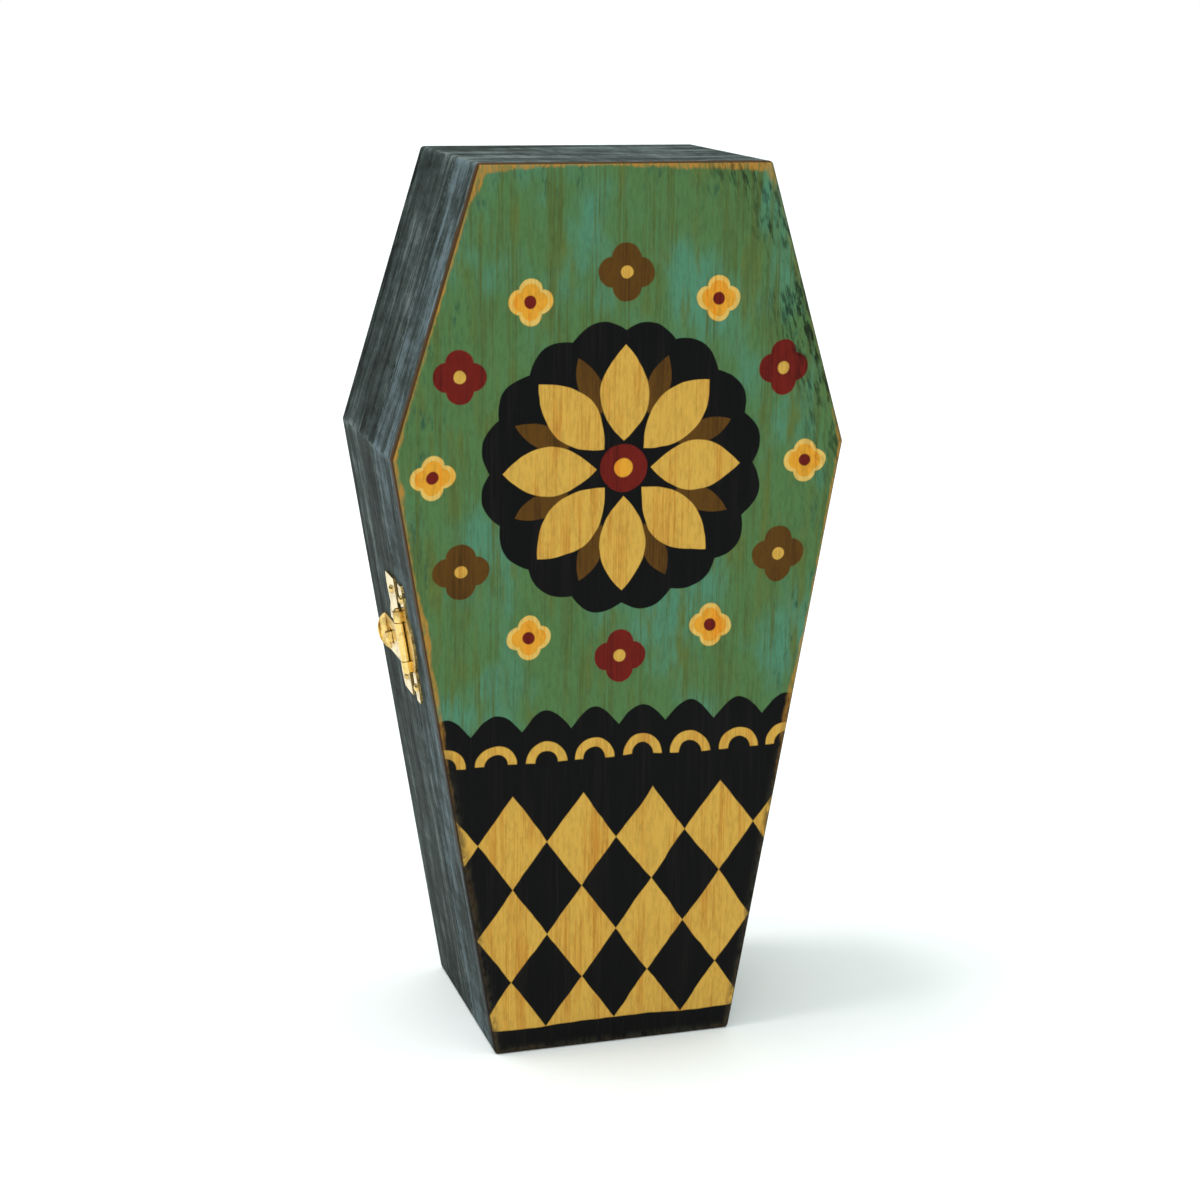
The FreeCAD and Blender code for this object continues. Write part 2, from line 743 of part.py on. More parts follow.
def grooved_disc(label, radius, thick):
    """A disc with a bore for its dowel and a groove for the wire in its upper face."""
    bore = "(dowel_radius + dowel_play)"
    groove_inside = "(coil_radius - wire_radius - groove_play)"
    groove_outside = "(coil_radius + wire_radius + groove_play)"
    groove_floor = f"({thick} - groove_depth)"
    ease = f"({thick} / 2)"
    return keep(
        label,
        turned(
            f"{label}_disc",
            [
                (bore, "0"),
                (radius, "0"),
                (radius, f"{thick} - {ease}", cap_arc(ease, ease)),
                (f"({radius} - {ease})", thick),
                (groove_outside, thick),
                (groove_outside, groove_floor),
                (groove_inside, groove_floor),
                (groove_inside, thick),
                (bore, thick),
            ],
        ),
    )


def dowel(label, radius, length):
    thing = doc.addObject("Part::Cylinder", f"{label}_rod")
    bind(thing, "Radius", radius)
    bind(thing, "Height", length)
    return keep(label, thing)


def arc_towards(start, apex, finish):
    """The arc from start to finish whose end tangents meet at apex."""
    chord_middle = (start + finish) * 0.5
    half_chord = (finish - start).Length / 2
    lift = (apex - chord_middle).Length
    radius = half_chord * math.hypot(half_chord, lift) / lift
    sagitta = radius - math.sqrt(radius**2 - half_chord**2)
    return Part.Arc(start, chord_middle + (apex - chord_middle) * (sagitta / lift), finish)


def biarc(start, start_way, finish, finish_way):
    """Two tangent arcs from one point and direction to another."""
    span = finish - start
    square = 2 * start_way.dot(finish_way) - 2
    half_linear = span.dot(start_way + finish_way)
    reach = (half_linear - math.sqrt(half_linear**2 - square * span.dot(span))) / square
    first_apex = start + start_way * reach
    last_apex = finish - finish_way * reach
    joint = (first_apex + last_apex) * 0.5
    return [arc_towards(start, first_apex, joint), arc_towards(joint, last_apex, finish)]


def make_spring():
    radius = value("coil_radius")
    pitch = value(PITCH)
    turns = value("coil_turns")
    wire_radius = value("wire_radius")

    def on_coil(turn):
        angle = 2 * math.pi * turn
        return FreeCAD.Vector(radius * math.cos(angle), radius * math.sin(angle), pitch * turn)

    def way_on_coil(turn):
        angle = 2 * math.pi * turn
        climb = pitch / (2 * math.pi)
        return FreeCAD.Vector(-radius * math.sin(angle), radius * math.cos(angle), climb).normalize()

    steps = round(turns * BIARCS_PER_TURN)
    stations = [turns * step / steps for step in range(steps + 1)]
    end_run = 2 * wire_radius
    first, last = on_coil(0), on_coil(turns)
    path = [Part.LineSegment(first - way_on_coil(0) * end_run, first)]
    for here, there in zip(stations, stations[1:]):
        path += biarc(on_coil(here), way_on_coil(here), on_coil(there), way_on_coil(there))
    path.append(Part.LineSegment(last, last + way_on_coil(turns) * end_run))
    wire = Part.Wire([piece.toShape() for piece in path])
    section = Part.Wire(Part.Circle(path[0].StartPoint, way_on_coil(0), wire_radius).toShape())

    points = [on_coil(step / GAP_POINTS_PER_TURN) for step in range(round(turns * GAP_POINTS_PER_TURN) + 1)]
    half_turn = GAP_POINTS_PER_TURN // 2
    least = min(
        (there - here).Length
        for number, here in enumerate(points)
        for there in points[number + half_turn :]
    )
    print(f"least gap between the spring's turns: {least - 2 * wire_radius:.3f} mm")

    spring = doc.addObject("Part::Feature", "jack_spring_wire")
    spring.Shape = wire.makePipeShell([section], True, False)
    place(spring, "0", COIL_START, SPRING_UP, TOWARDS_LID)
    keep("jack_spring", spring)


def make_spring_and_seats():
    seat = grooved_disc("spring_seat", "seat_radius", "seat_thick")
    place(seat, "0", BOX_BACK, SPRING_UP, TOWARDS_LID)
    seat_dowel = dowel("seat_dowel", "dowel_radius", "seat_thick + panel_bite")
    place(seat_dowel, "0", f"{BOX_BACK} + panel_bite", SPRING_UP, TOWARDS_LID)
    make_spring()
    plate = grooved_disc("jack_plate", "plate_radius", "plate_thick")
    place(plate, "0", PLATE_FRONT, SPRING_UP, TOWARDS_BACK)
    plate_dowel = dowel("plate_dowel", "dowel_radius", "plate_thick + body_bite")
    place(plate_dowel, "0", f"{PLATE_FRONT} - body_bite", SPRING_UP, TOWARDS_BACK)


# Jack: a turned wooden figure that stands upright in the case, its flat back glued to the spring's plate

NECK_BORE = "(neck_radius + dowel_play)"
NECK_ROOM = "(neck_bite + dowel_play)"
ARM_TILTS = {"right": "90 deg - arm_lift * 1 deg", "left": "arm_lift * 1 deg - 90 deg"}


def place_on_jack(thing, up):
    place(thing, "0", JACK_MIDDLE, f"{JACK_BASE} + {up}")


def place_along_arm(thing, side, along):
    """Put a thing on an arm's line, so far out from the shoulder, with its Z axis along the line."""
    x = f"{SIGN[side]}(jack_shoulder_radius + {along} * cos(arm_lift * 1 deg))"
    z = f"{JACK_BASE} + jack_body_height - arm_drop + {along} * sin(arm_lift * 1 deg)"
    place(thing, x, JACK_MIDDLE, z, f"rotationy({ARM_TILTS[side]})")


def arm_hole(side):
    """The hole for an arm's peg, from its blind end to past the body's surface."""
    depth = "(arm_bite + dowel_play)"
    drill = doc.addObject("Part::Cylinder", "ArmHole")
    bind(drill, "Radius", "arm_radius + dowel_play")
    bind(drill, "Height", f"{depth} + arm_length")
    place_along_arm(drill, side, f"(-{depth})")
    return drill


def make_arm(label, side):
    """A peg with a round hand, turned in one piece and lifted to the side."""
    wrist = "sqrt(hand_radius^2 - arm_radius^2)"
    arm = turned(
        f"{label}_turning",
        [
            ("0", "-arm_bite"),
            ("arm_radius", "-arm_bite"),
            ("arm_radius", f"arm_length - {wrist}", cap_arc("arm_radius", f"hand_radius + {wrist}")),
            ("0", "arm_length + hand_radius"),
        ],
    )
    place_along_arm(arm, side, "0")
    keep(label, arm)


def make_jack_body():
    chest_radius = "jack_shoulder_radius + jack_shoulder_rise"
    body = turned(
        "jack_body_turning",
        [
            ("0", "0"),
            ("jack_base_radius", "0"),
            ("jack_base_radius", "jack_base_height", "-jack_waist_rise"),
            (chest_radius, "jack_body_height - jack_shoulder_height", "jack_shoulder_rise"),
            ("jack_shoulder_radius", "jack_body_height"),
            (NECK_BORE, "jack_body_height"),
            (NECK_BORE, f"jack_body_height - {NECK_ROOM}"),
            ("0", f"jack_body_height - {NECK_ROOM}"),
        ],
    )
    flat = new_sketch(body, "XZ_Plane", "-jack_flat")
    aside = "2 * jack_base_radius"
    draw_box(flat, f"-{aside}", aside, "-jack_base_height", "2 * jack_body_height")
    pocket(body, flat)
    hole = new_sketch(body, "XZ_Plane", "-jack_flat")
    draw_circle(hole, "0", "spring_on_jack", "dowel_radius + dowel_play")
    pocket(body, hole, "body_bite + dowel_play", forward=True)
    place_on_jack(body, "0")
    drilled = doc.addObject("Part::Cut", "jack_body_drilled")
    drilled.Base = body
    drilled.Tool = group("jack_arm_holes", [arm_hole(side) for side in ARM_TILTS])
    keep("jack_body", drilled)


def make_collar():
    """A flat disc with a scalloped rim, on the neck between body and head."""
    body = new_body("jack_collar_disc")
    rim = new_sketch(body, "XY_Plane")
    petals = round(value("collar_petals"))
    angles = [f"{petal} * 360 deg / collar_petals" for petal in range(petals)]
    draw_outline(
        rim,
        [
            (f"collar_radius * cos({angle})", f"collar_radius * sin({angle})", "collar_petal_rise")
            for angle in angles
        ],
    )
    draw_circle(rim, "0", "0", NECK_BORE)
    pad(body, rim, "collar_thick")
    place_on_jack(body, "jack_body_height")
    keep("jack_collar", body)


def make_head():
    head = turned(
        "jack_head_ball",
        [
            (NECK_BORE, f"-{HEAD_SEAT}"),
            ("head_flat_radius", f"-{HEAD_SEAT}", cap_arc("head_flat_radius", f"head_radius + {HEAD_SEAT}")),
            ("0", "head_radius"),
            ("0", f"{NECK_ROOM} - {HEAD_SEAT}"),
            (NECK_BORE, f"{NECK_ROOM} - {HEAD_SEAT}"),
        ],
    )
    nose_hole = new_sketch(head, "XZ_Plane", "head_radius")
    draw_circle(nose_hole, "0", "0", "nose_peg_radius + dowel_play")
    pocket(head, nose_hole, "nose_peg_length + dowel_play")
    place_on_jack(head, HEAD_ON_JACK)
    keep("jack_head", head)

    nose = turned(
        "jack_nose_peg",
        [
            ("0", "-nose_peg_length"),
            ("nose_peg_radius", "-nose_peg_length"),
            ("nose_peg_radius", "0"),
            ("nose_radius", "0", cap_arc("nose_radius", "nose_rise")),
            ("0", "nose_rise"),
        ],
    )
    place(nose, "0", f"{JACK_MIDDLE} - head_radius", f"{JACK_BASE} + {HEAD_ON_JACK}", TOWARDS_LID)
    keep("jack_nose", nose)


def make_cap():
    hollow = "(head_radius + cap_glue)"
    rim_up = f"sqrt({hollow}^2 - cap_radius^2)"
    cap = turned(
        "jack_cap_cone",
        [
            ("cap_radius", rim_up),
            ("cap_radius + cap_brim", rim_up),
            ("cap_radius + cap_brim", f"{rim_up} + cap_brim_thick", "-cap_hollow"),
            ("cap_tip_radius", CAP_TIP),
            ("0", CAP_TIP),
            ("0", hollow, f"-{cap_arc('cap_radius', f'{hollow} - {rim_up}')}"),
        ],
    )
    place_on_jack(cap, HEAD_ON_JACK)
    keep("jack_cap", cap)

    bobble = doc.addObject("Part::Sphere", "cap_bobble_bead")
    bobble.Angle1 = BOBBLE_CUT
    bind(bobble, "Radius", "bobble_radius")
    place_on_jack(bobble, f"({HEAD_ON_JACK} + {CAP_TIP} + {BOBBLE_SEAT})")
    keep("cap_bobble", bobble)


def make_jack():
    make_jack_body()
    make_arm("jack_right_arm", "right")
    make_arm("jack_left_arm", "left")
    make_collar()
    neck_dowel = dowel("neck_dowel", "neck_radius", "2 * neck_bite + collar_thick")
    place_on_jack(neck_dowel, "(jack_body_height - neck_bite)")
    make_head()
    make_cap()


def export():
    doc.recompute()
    for thing in doc.Objects:
        if "Invalid" in thing.State or "Error" in thing.State:
            raise RuntimeError(f"{thing.Label} did not build: {thing.State}")
    for label, thing in sub_parts.items():
        if thing.Shape.isNull() or not thing.Shape.isValid() or not thing.Shape.Solids:
            raise RuntimeError(f"{label} has no valid shape")
    os.makedirs("parts", exist_ok=True)
    for label, thing in sub_parts.items():
        thing.Shape.exportStep(f"parts/{label}.step")


make_case()
make_hinges()
make_hasp()
make_spring_and_seats()
make_jack()
export()
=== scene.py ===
# The looks of a coffin-shaped jack in the box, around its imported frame.
# Metres, +Z up, with the painted lid towards -Y, the hinges at +X and the hasp at -X.
import math

import bmesh
import bpy
from mathutils import Matrix, Vector


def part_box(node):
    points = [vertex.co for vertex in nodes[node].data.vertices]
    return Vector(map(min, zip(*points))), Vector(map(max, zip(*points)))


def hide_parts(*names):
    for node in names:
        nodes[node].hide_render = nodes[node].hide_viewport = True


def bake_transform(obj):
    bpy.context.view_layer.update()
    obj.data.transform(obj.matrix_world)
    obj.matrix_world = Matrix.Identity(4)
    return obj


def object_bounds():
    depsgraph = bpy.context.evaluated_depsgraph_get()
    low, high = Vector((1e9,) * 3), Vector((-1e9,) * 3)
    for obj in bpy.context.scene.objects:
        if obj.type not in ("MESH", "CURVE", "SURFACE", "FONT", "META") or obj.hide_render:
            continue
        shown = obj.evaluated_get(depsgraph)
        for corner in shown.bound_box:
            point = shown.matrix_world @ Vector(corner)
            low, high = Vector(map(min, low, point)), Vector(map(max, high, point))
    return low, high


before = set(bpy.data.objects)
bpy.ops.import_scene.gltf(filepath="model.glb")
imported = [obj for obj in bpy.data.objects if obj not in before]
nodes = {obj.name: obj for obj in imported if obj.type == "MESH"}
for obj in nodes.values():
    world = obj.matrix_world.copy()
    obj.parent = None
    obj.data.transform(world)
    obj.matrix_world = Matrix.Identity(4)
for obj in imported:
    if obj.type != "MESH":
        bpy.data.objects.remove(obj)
cad_low, cad_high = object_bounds()


# Case walls and lid rails: twelve thin boards of soft wood, mitred into two six-sided frames.
# Outside they are painted charcoal and dry-brushed with light grey along the grain. Inside they are bare.

HEIGHT = 0.203
TOP_HALF = 0.033
SHOULDER_HALF = 0.052
SHOULDER_UP = 0.1405
FOOT_HALF = 0.0285
LOWER_LEAN = math.atan((SHOULDER_HALF - FOOT_HALF) / SHOULDER_UP)
UPPER_LEAN = math.atan((SHOULDER_HALF - TOP_HALF) / (HEIGHT - SHOULDER_UP))
SEAM = (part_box("lid_top_rail")[1].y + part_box("box_top_wall")[0].y) / 2
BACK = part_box("back_panel")[1].y
CORNERS = ((FOOT_HALF, 0), (SHOULDER_HALF, SHOULDER_UP), (TOP_HALF, HEIGHT))

CHARCOAL_DARK = (0.006, 0.008, 0.008, 1)
CHARCOAL = (0.037, 0.048, 0.045, 1)
CHARCOAL_LIGHT = (0.160, 0.194, 0.190, 1)
LID_LIGHT = (0.140, 0.185, 0.205, 1)
PINE_DARK = (0.36, 0.20, 0.09, 1)
PINE = (0.60, 0.41, 0.22, 1)
PINE_LIGHT = (0.70, 0.52, 0.31, 1)
WOOD_RELIEF = 0.00012
SATIN_GLOSS = 0.1
DRY_GLOSS = 0.03

# Streaks have a width in metres and a length of so many widths. A weight may follow,
# or the two levels of noise between which the streaks come out.
LONG_MARKS = (0.0006, 14, 0.20)
BROAD_MARKS = (0.0020, 8, 0.17)
WIDE_MARKS = (0.0050, 7, 0.35)
SPECKS = (0.0009, 1.2, 0.12)
CROSS_BANDS = (0.016, 0.20, 0.13)
BLOTCHES = (0.0055, 1.3, 0.10)
CLOUDS = (0.014, 3, 0.09)
STROKES = (LONG_MARKS, BROAD_MARKS, WIDE_MARKS)
PATCHES = (SPECKS, CROSS_BANDS, BLOTCHES, CLOUDS)
RINGS = (0.012, 26)
PORES = (0.0003, 40)
SMEARS = (0.003, 2)
RUBS = (0.002, 1.5)
CAUGHT_RUBS = (0.0013, 1.5, 0.34, 0.66)
STREAK_DETAIL = 3
STREAK_ROUGHNESS = 0.6

# Levels are where a noise starts to show and where it shows in full. A roughness is how much it grows
# with its noise, and where it starts. On top, painted light makes the case a step lighter and painted
# shade the lid a step darker.
DARK_LEVELS = (0.41, 0.52)
LIGHT_LEVELS = (0.50, 0.65)
BRUSHED_ROUGHNESS = (0.45, 0.42)
RING_WAVES = 60
RING_LEVELS = (0.2, 1.0)
RING_TINT = 0.38
PORE_LEVELS = (0.52, 0.72)
PORE_TINT = 0.4
WOOD_ROUGHNESS = (0.2, 0.5)
RUB_REACH = 0.0034
RUB_LIGHTNESS = 0.09
BOX_LIGHTNESS = -0.08
LID_LIGHTNESS = -0.03
TOP_LIGHT_AND_SHADE_STEP = 0.02
BOX_PAINT = (BOX_LIGHTNESS, CHARCOAL_LIGHT)
BOX_TOP_PAINT_AND_LIGHT = (BOX_LIGHTNESS + TOP_LIGHT_AND_SHADE_STEP, CHARCOAL_LIGHT)
LID_PAINT = (LID_LIGHTNESS, LID_LIGHT)
LID_TOP_PAINT_AND_SHADE = (LID_LIGHTNESS - TOP_LIGHT_AND_SHADE_STEP, CHARCOAL_LIGHT)
PAINT_WRAP = 0.0006
PAINT_SMEAR = 0.002
PAINT_END = (-0.0001, 0.0002)


def add_node(tree, kind, inputs=None, **settings):
    """A shader node with its settings, and each input set to a value or linked from a socket."""
    made = tree.nodes.new(kind)
    for name, setting in settings.items():
        setattr(made, name, setting)
    for name, given in (inputs or {}).items():
        if isinstance(given, bpy.types.NodeSocket):
            tree.links.new(given, made.inputs[name])
        else:
            made.inputs[name].default_value = given
    return made


def calculate(tree, operation, *numbers):
    return add_node(tree, "ShaderNodeMath", dict(enumerate(numbers)), operation=operation).outputs[0]


def minus(tree, first, second):
    return calculate(tree, "SUBTRACT", first, second)


def times(tree, first, second):
    return calculate(tree, "MULTIPLY", first, second)


def scaled(tree, value, factor, offset):
    """A value times a factor, plus an offset."""
    return calculate(tree, "MULTIPLY_ADD", value, factor, offset)


def reckon(tree, operation, first, second):
    """A sum, difference or product of two vectors."""
    made = add_node(tree, "ShaderNodeVectorMath", {0: first, 1: second}, operation=operation)
    return made.outputs["Vector"]


def axis_of(tree, vector, axis):
    return add_node(tree, "ShaderNodeSeparateXYZ", {"Vector": vector}).outputs[axis]


def length_of(tree, aside, up):
    """The length of a flat arrow, from its two parts."""
    return calculate(tree, "SQRT", scaled(tree, up, up, times(tree, aside, aside)))


def ease(tree, value, start, end):
    """0 at the start and 1 at the end, with a smooth step between, also where the end is the lower one."""
    steps = {"Value": value, "From Min": start, "From Max": end}
    made = add_node(tree, "ShaderNodeMapRange", steps, interpolation_type="SMOOTHSTEP")
    return made.outputs["Result"]


def mix_colours(tree, share, under, over):
    """One colour over another, by a share of the upper one."""
    made = add_node(tree, "ShaderNodeMix", data_type="RGBA")
    sockets = {socket.identifier: socket for socket in made.inputs}
    for name, given in (("Factor_Float", share), ("A_Color", under), ("B_Color", over)):
        if isinstance(given, bpy.types.NodeSocket):
            tree.links.new(given, sockets[name])
        else:
            sockets[name].default_value = given
    return next(socket for socket in made.outputs if socket.identifier == "Result_Color")


def mix_values(tree, share, under, over):
    made = add_node(tree, "ShaderNodeMix", {"Factor": share, "A": under, "B": over}, data_type="FLOAT")
    return made.outputs["Result"]


def tint(tree, mask, strength, under, over):
    """A colour over another where a mask is, at less than full strength."""
    return mix_colours(tree, times(tree, mask, strength), under, over)


def new_group(name, inputs, outputs):
    """An empty node group with named sockets, each as (name, kind), and what it is given at its inputs."""
    group = bpy.data.node_groups.new(name, "ShaderNodeTree")
    for way, sockets in (("INPUT", inputs), ("OUTPUT", outputs)):
        for socket_name, kind in sockets:
            group.interface.new_socket(socket_name, in_out=way, socket_type=f"NodeSocket{kind}")
    return group, group.nodes.new("NodeGroupInput").outputs


def put_out(group, **results):
    """Link a group's results to its output sockets."""
    add_node(group, "NodeGroupOutput", results)


def place_group(tree, group, **inputs):
    """The outputs of a group, placed in a tree with its own values."""
    return add_node(tree, "ShaderNodeGroup", inputs, node_tree=group).outputs


def new_material(name):
    """An empty material, with its tree, its shader and the Object coordinates that it reads."""
    material = bpy.data.materials.new(name)
    material.use_nodes = True
    tree = material.node_tree
    place = add_node(tree, "ShaderNodeTexCoord").outputs["Object"]
    return material, tree, tree.nodes["Principled BSDF"], place


def surface(tree, shader, colour, roughness, height, relief, gloss=SATIN_GLOSS):
    """Give a shader its colour, roughness, relief and strength of gloss."""
    shader.inputs["Specular IOR Level"].default_value = gloss
    bump = add_node(tree, "ShaderNodeBump", {"Strength": 1.0, "Distance": relief, "Height": height})
    tree.links.new(colour, shader.inputs["Base Color"])
    tree.links.new(roughness, shader.inputs["Roughness"])
    tree.links.new(bump.outputs["Normal"], shader.inputs["Normal"])


def dress(material, *names):
    for name in names:
        nodes[name].material_slots[0].material = material


def make_grain():
    """Streaks along the vector's Z axis, of a width in metres and so many times as long."""
    inputs = [("Vector", "Vector"), ("Width", "Float"), ("Stretch", "Float")]
    group, given = new_group("Grain", inputs, [("Streaks", "Float")])
    across = calculate(group, "DIVIDE", 1, given["Width"])
    along = calculate(group, "DIVIDE", across, given["Stretch"])
    scale = add_node(group, "ShaderNodeCombineXYZ", {"X": across, "Y": across, "Z": along}).outputs[0]
    spot = reckon(group, "MULTIPLY", given["Vector"], scale)
    look = {"Vector": spot, "Scale": 1, "Detail": STREAK_DETAIL, "Roughness": STREAK_ROUGHNESS}
    put_out(group, Streaks=add_node(group, "ShaderNodeTexNoise", look).outputs["Fac"])
    return group


grain = make_grain()


def streaks(tree, place, width, stretch):
    return place_group(tree, grain, Vector=place, Width=width, Stretch=stretch)["Streaks"]


def marks(tree, place, width, stretch, low, high):
    """Streaks with clear ground between them: 0 below one level of their noise and 1 above another."""
    return ease(tree, streaks(tree, place, width, stretch), low, high)


FINISH = [("Color", "Color"), ("Roughness", "Float"), ("Height", "Float")]


def make_dry_brush():
    """Charcoal paint with light grey dragged over it by a nearly dry brush, along the vector's Z axis."""
    inputs = [("Vector", "Vector"), ("Lightness", "Float"), ("Light", "Color")]
    group, given = new_group("Dry brushed paint", inputs, FINISH)
    drag = given["Lightness"]
    for width, stretch, weight in STROKES + PATCHES:
        drag = scaled(group, streaks(group, given["Vector"], width, stretch), weight, drag)
    colour = mix_colours(group, ease(group, drag, *DARK_LEVELS), CHARCOAL_DARK, CHARCOAL)
    colour = mix_colours(group, ease(group, drag, *LIGHT_LEVELS), colour, given["Light"])
    put_out(group, Color=colour, Roughness=scaled(group, drag, *BRUSHED_ROUGHNESS), Height=drag)
    return group


def make_bare_wood():
    """Sanded soft wood with the lines of its growth rings along the vector's Z axis."""
    group, given = new_group("Bare wood", [("Vector", "Vector")], FINISH)
    swirl = streaks(group, given["Vector"], *RINGS)
    pores = streaks(group, given["Vector"], *PORES)
    rings = calculate(group, "SINE", times(group, swirl, RING_WAVES))
    colour = mix_colours(group, swirl, PINE, PINE_LIGHT)
    colour = tint(group, ease(group, rings, *RING_LEVELS), RING_TINT, colour, PINE_DARK)
    colour = tint(group, ease(group, pores, *PORE_LEVELS), PORE_TINT, colour, PINE_DARK)
    put_out(group, Color=colour, Roughness=scaled(group, pores, *WOOD_ROUGHNESS), Height=pores)
    return group


def distance_to_corners(tree, place):
    """How far a point lies from the nearest corner of the six-sided outline."""
    aside = calculate(tree, "ABSOLUTE", axis_of(tree, place, "X"))
    up = axis_of(tree, place, "Z")
    distance = HEIGHT
    for half, height in CORNERS:
        to_corner = length_of(tree, minus(tree, aside, half), minus(tree, up, height))
        distance = calculate(tree, "MINIMUM", distance, to_corner)
    return distance


def make_rubbed_edges():
    """How much the brush has caught an outer edge: a corner, the seam or the rim of the back."""
    group, given = new_group("Rubbed edges", [("Vector", "Vector")], [("Rub", "Float")])
    place = given["Vector"]
    back = axis_of(group, place, "Y")
    from_seam = calculate(group, "ABSOLUTE", minus(group, back, SEAM))
    distance = calculate(group, "MINIMUM", from_seam, minus(group, BACK, back))
    distance = calculate(group, "MINIMUM", distance, distance_to_corners(group, place))
    reach = times(group, streaks(group, place, *RUBS), RUB_REACH)
    close = ease(group, distance, reach, 0)
    put_out(group, Rub=times(group, close, marks(group, place, *CAUGHT_RUBS)))
    return group


dry_brush = make_dry_brush()
bare_wood = make_bare_wood()
rubbed_edges = make_rubbed_edges()


def brushed_paint(tree, place, along, tone):
    """The outputs of the dry-brushed paint, lighter where an edge was rubbed."""
    lightness, light = tone
    rub = place_group(tree, rubbed_edges, Vector=place)["Rub"]
    lighter = scaled(tree, rub, RUB_LIGHTNESS, lightness)
    return place_group(tree, dry_brush, Vector=along, Lightness=lighter, Light=light)


def paint_or_wood(tree, shader, place, along, depth, tone):
    """Paint down to a ragged depth below the outside, and bare wood beyond it."""
    paint = brushed_paint(tree, place, along, tone)
    wood = place_group(tree, bare_wood, Vector=along)
    reach = scaled(tree, streaks(tree, along, *SMEARS), PAINT_SMEAR, PAINT_WRAP)
    bare = ease(tree, minus(tree, depth, reach), *PAINT_END)
    surface(
        tree,
        shader,
        mix_colours(tree, bare, paint["Color"], wood["Color"]),
        mix_values(tree, bare, paint["Roughness"], wood["Roughness"]),
        mix_values(tree, bare, paint["Height"], wood["Height"]),
        WOOD_RELIEF,
        DRY_GLOSS,
    )


def board_material(name, turn, outside, side, tone):
    """A board whose length the turn brings upright, with its outside at a distance on one side."""
    material, tree, shader, place = new_material(name)
    mapping = {"Vector": place, "Rotation": (0, turn, 0)}
    along = add_node(tree, "ShaderNodeMapping", mapping).outputs["Vector"]
    depth = scaled(tree, axis_of(tree, along, "X"), side, outside)
    paint_or_wood(tree, shader, place, along, depth, tone)
    return material


LOWER_OUT = FOOT_HALF * math.cos(LOWER_LEAN)
UPPER_OUT = TOP_HALF * math.cos(UPPER_LEAN) + HEIGHT * math.sin(UPPER_LEAN)
LEFT, RIGHT = 1, -1
QUARTER_TURN = -math.pi / 2
BOARDS = {
    "foot": (QUARTER_TURN, 0, RIGHT),
    "lower_right": (-LOWER_LEAN, LOWER_OUT, RIGHT),
    "upper_right": (UPPER_LEAN, UPPER_OUT, RIGHT),
    "top": (QUARTER_TURN, HEIGHT, LEFT),
    "upper_left": (-UPPER_LEAN, UPPER_OUT, LEFT),
    "lower_left": (LOWER_LEAN, LOWER_OUT, LEFT),
}
for board, (turn, outside, side) in BOARDS.items():
    # On the top boards the paint carries painted light on the case and painted shade on the lid.
    wall_paint, rail_paint = (BOX_TOP_PAINT_AND_LIGHT, LID_TOP_PAINT_AND_SHADE) if board == "top" else (BOX_PAINT, LID_PAINT)
    dress(board_material(f"wall_{board}", turn, outside, side, wall_paint), f"box_{board}_wall")
    dress(board_material(f"rail_{board}", turn, outside, side, rail_paint), f"lid_{board}_rail")


# Back panel: a thin board with the outline of the case, glued to the back of the walls.
# It is painted like the walls on its back and its rim, in longer strokes and a step darker as painted
# shade, and bare towards the inside.

BACK_STROKES = 2.4
# Painted shade: the back's paint is a step darker than the walls'.
BACK_PAINTED_SHADE = 0.025
BACK_PAINT_AND_SHADE = (BOX_LIGHTNESS - BACK_PAINTED_SHADE, CHARCOAL_LIGHT)


def make_outline_distance():
    """How far a point lies inside the six-sided outline of the case."""
    group, given = new_group("Outline distance", [("Vector", "Vector")], [("Distance", "Float")])
    aside = calculate(group, "ABSOLUTE", axis_of(group, given["Vector"], "X"))
    up = axis_of(group, given["Vector"], "Z")
    down = minus(group, HEIGHT, up)
    distance = calculate(group, "MINIMUM", up, down)
    for half, lean, run in ((FOOT_HALF, LOWER_LEAN, up), (TOP_HALF, UPPER_LEAN, down)):
        edge = scaled(group, run, math.tan(lean), half)
        inwards = times(group, minus(group, edge, aside), math.cos(lean))
        distance = calculate(group, "MINIMUM", distance, inwards)
    put_out(group, Distance=distance)
    return group


outline_distance = make_outline_distance()


def back_panel_material():
    material, tree, shader, place = new_material("back_panel_paint")
    from_back = minus(tree, BACK, axis_of(tree, place, "Y"))
    from_rim = place_group(tree, outline_distance, Vector=place)["Distance"]
    depth = calculate(tree, "MINIMUM", from_back, from_rim)
    along = add_node(tree, "ShaderNodeMapping", {"Vector": place, "Scale": (1, 1, 1 / BACK_STROKES)})
    paint_or_wood(tree, shader, place, along.outputs["Vector"], depth, BACK_PAINT_AND_SHADE)
    return material


dress(back_panel_material(), "back_panel")


# Front panel: a thin board glued to the lid's rails and painted by hand in flat colours.
# A rosette stands in a ring of blossoms on green, over a scalloped border and a field of lozenges.
# The wood's grain shows through the paint, which is worn at the rim and scuffed at the upper right.

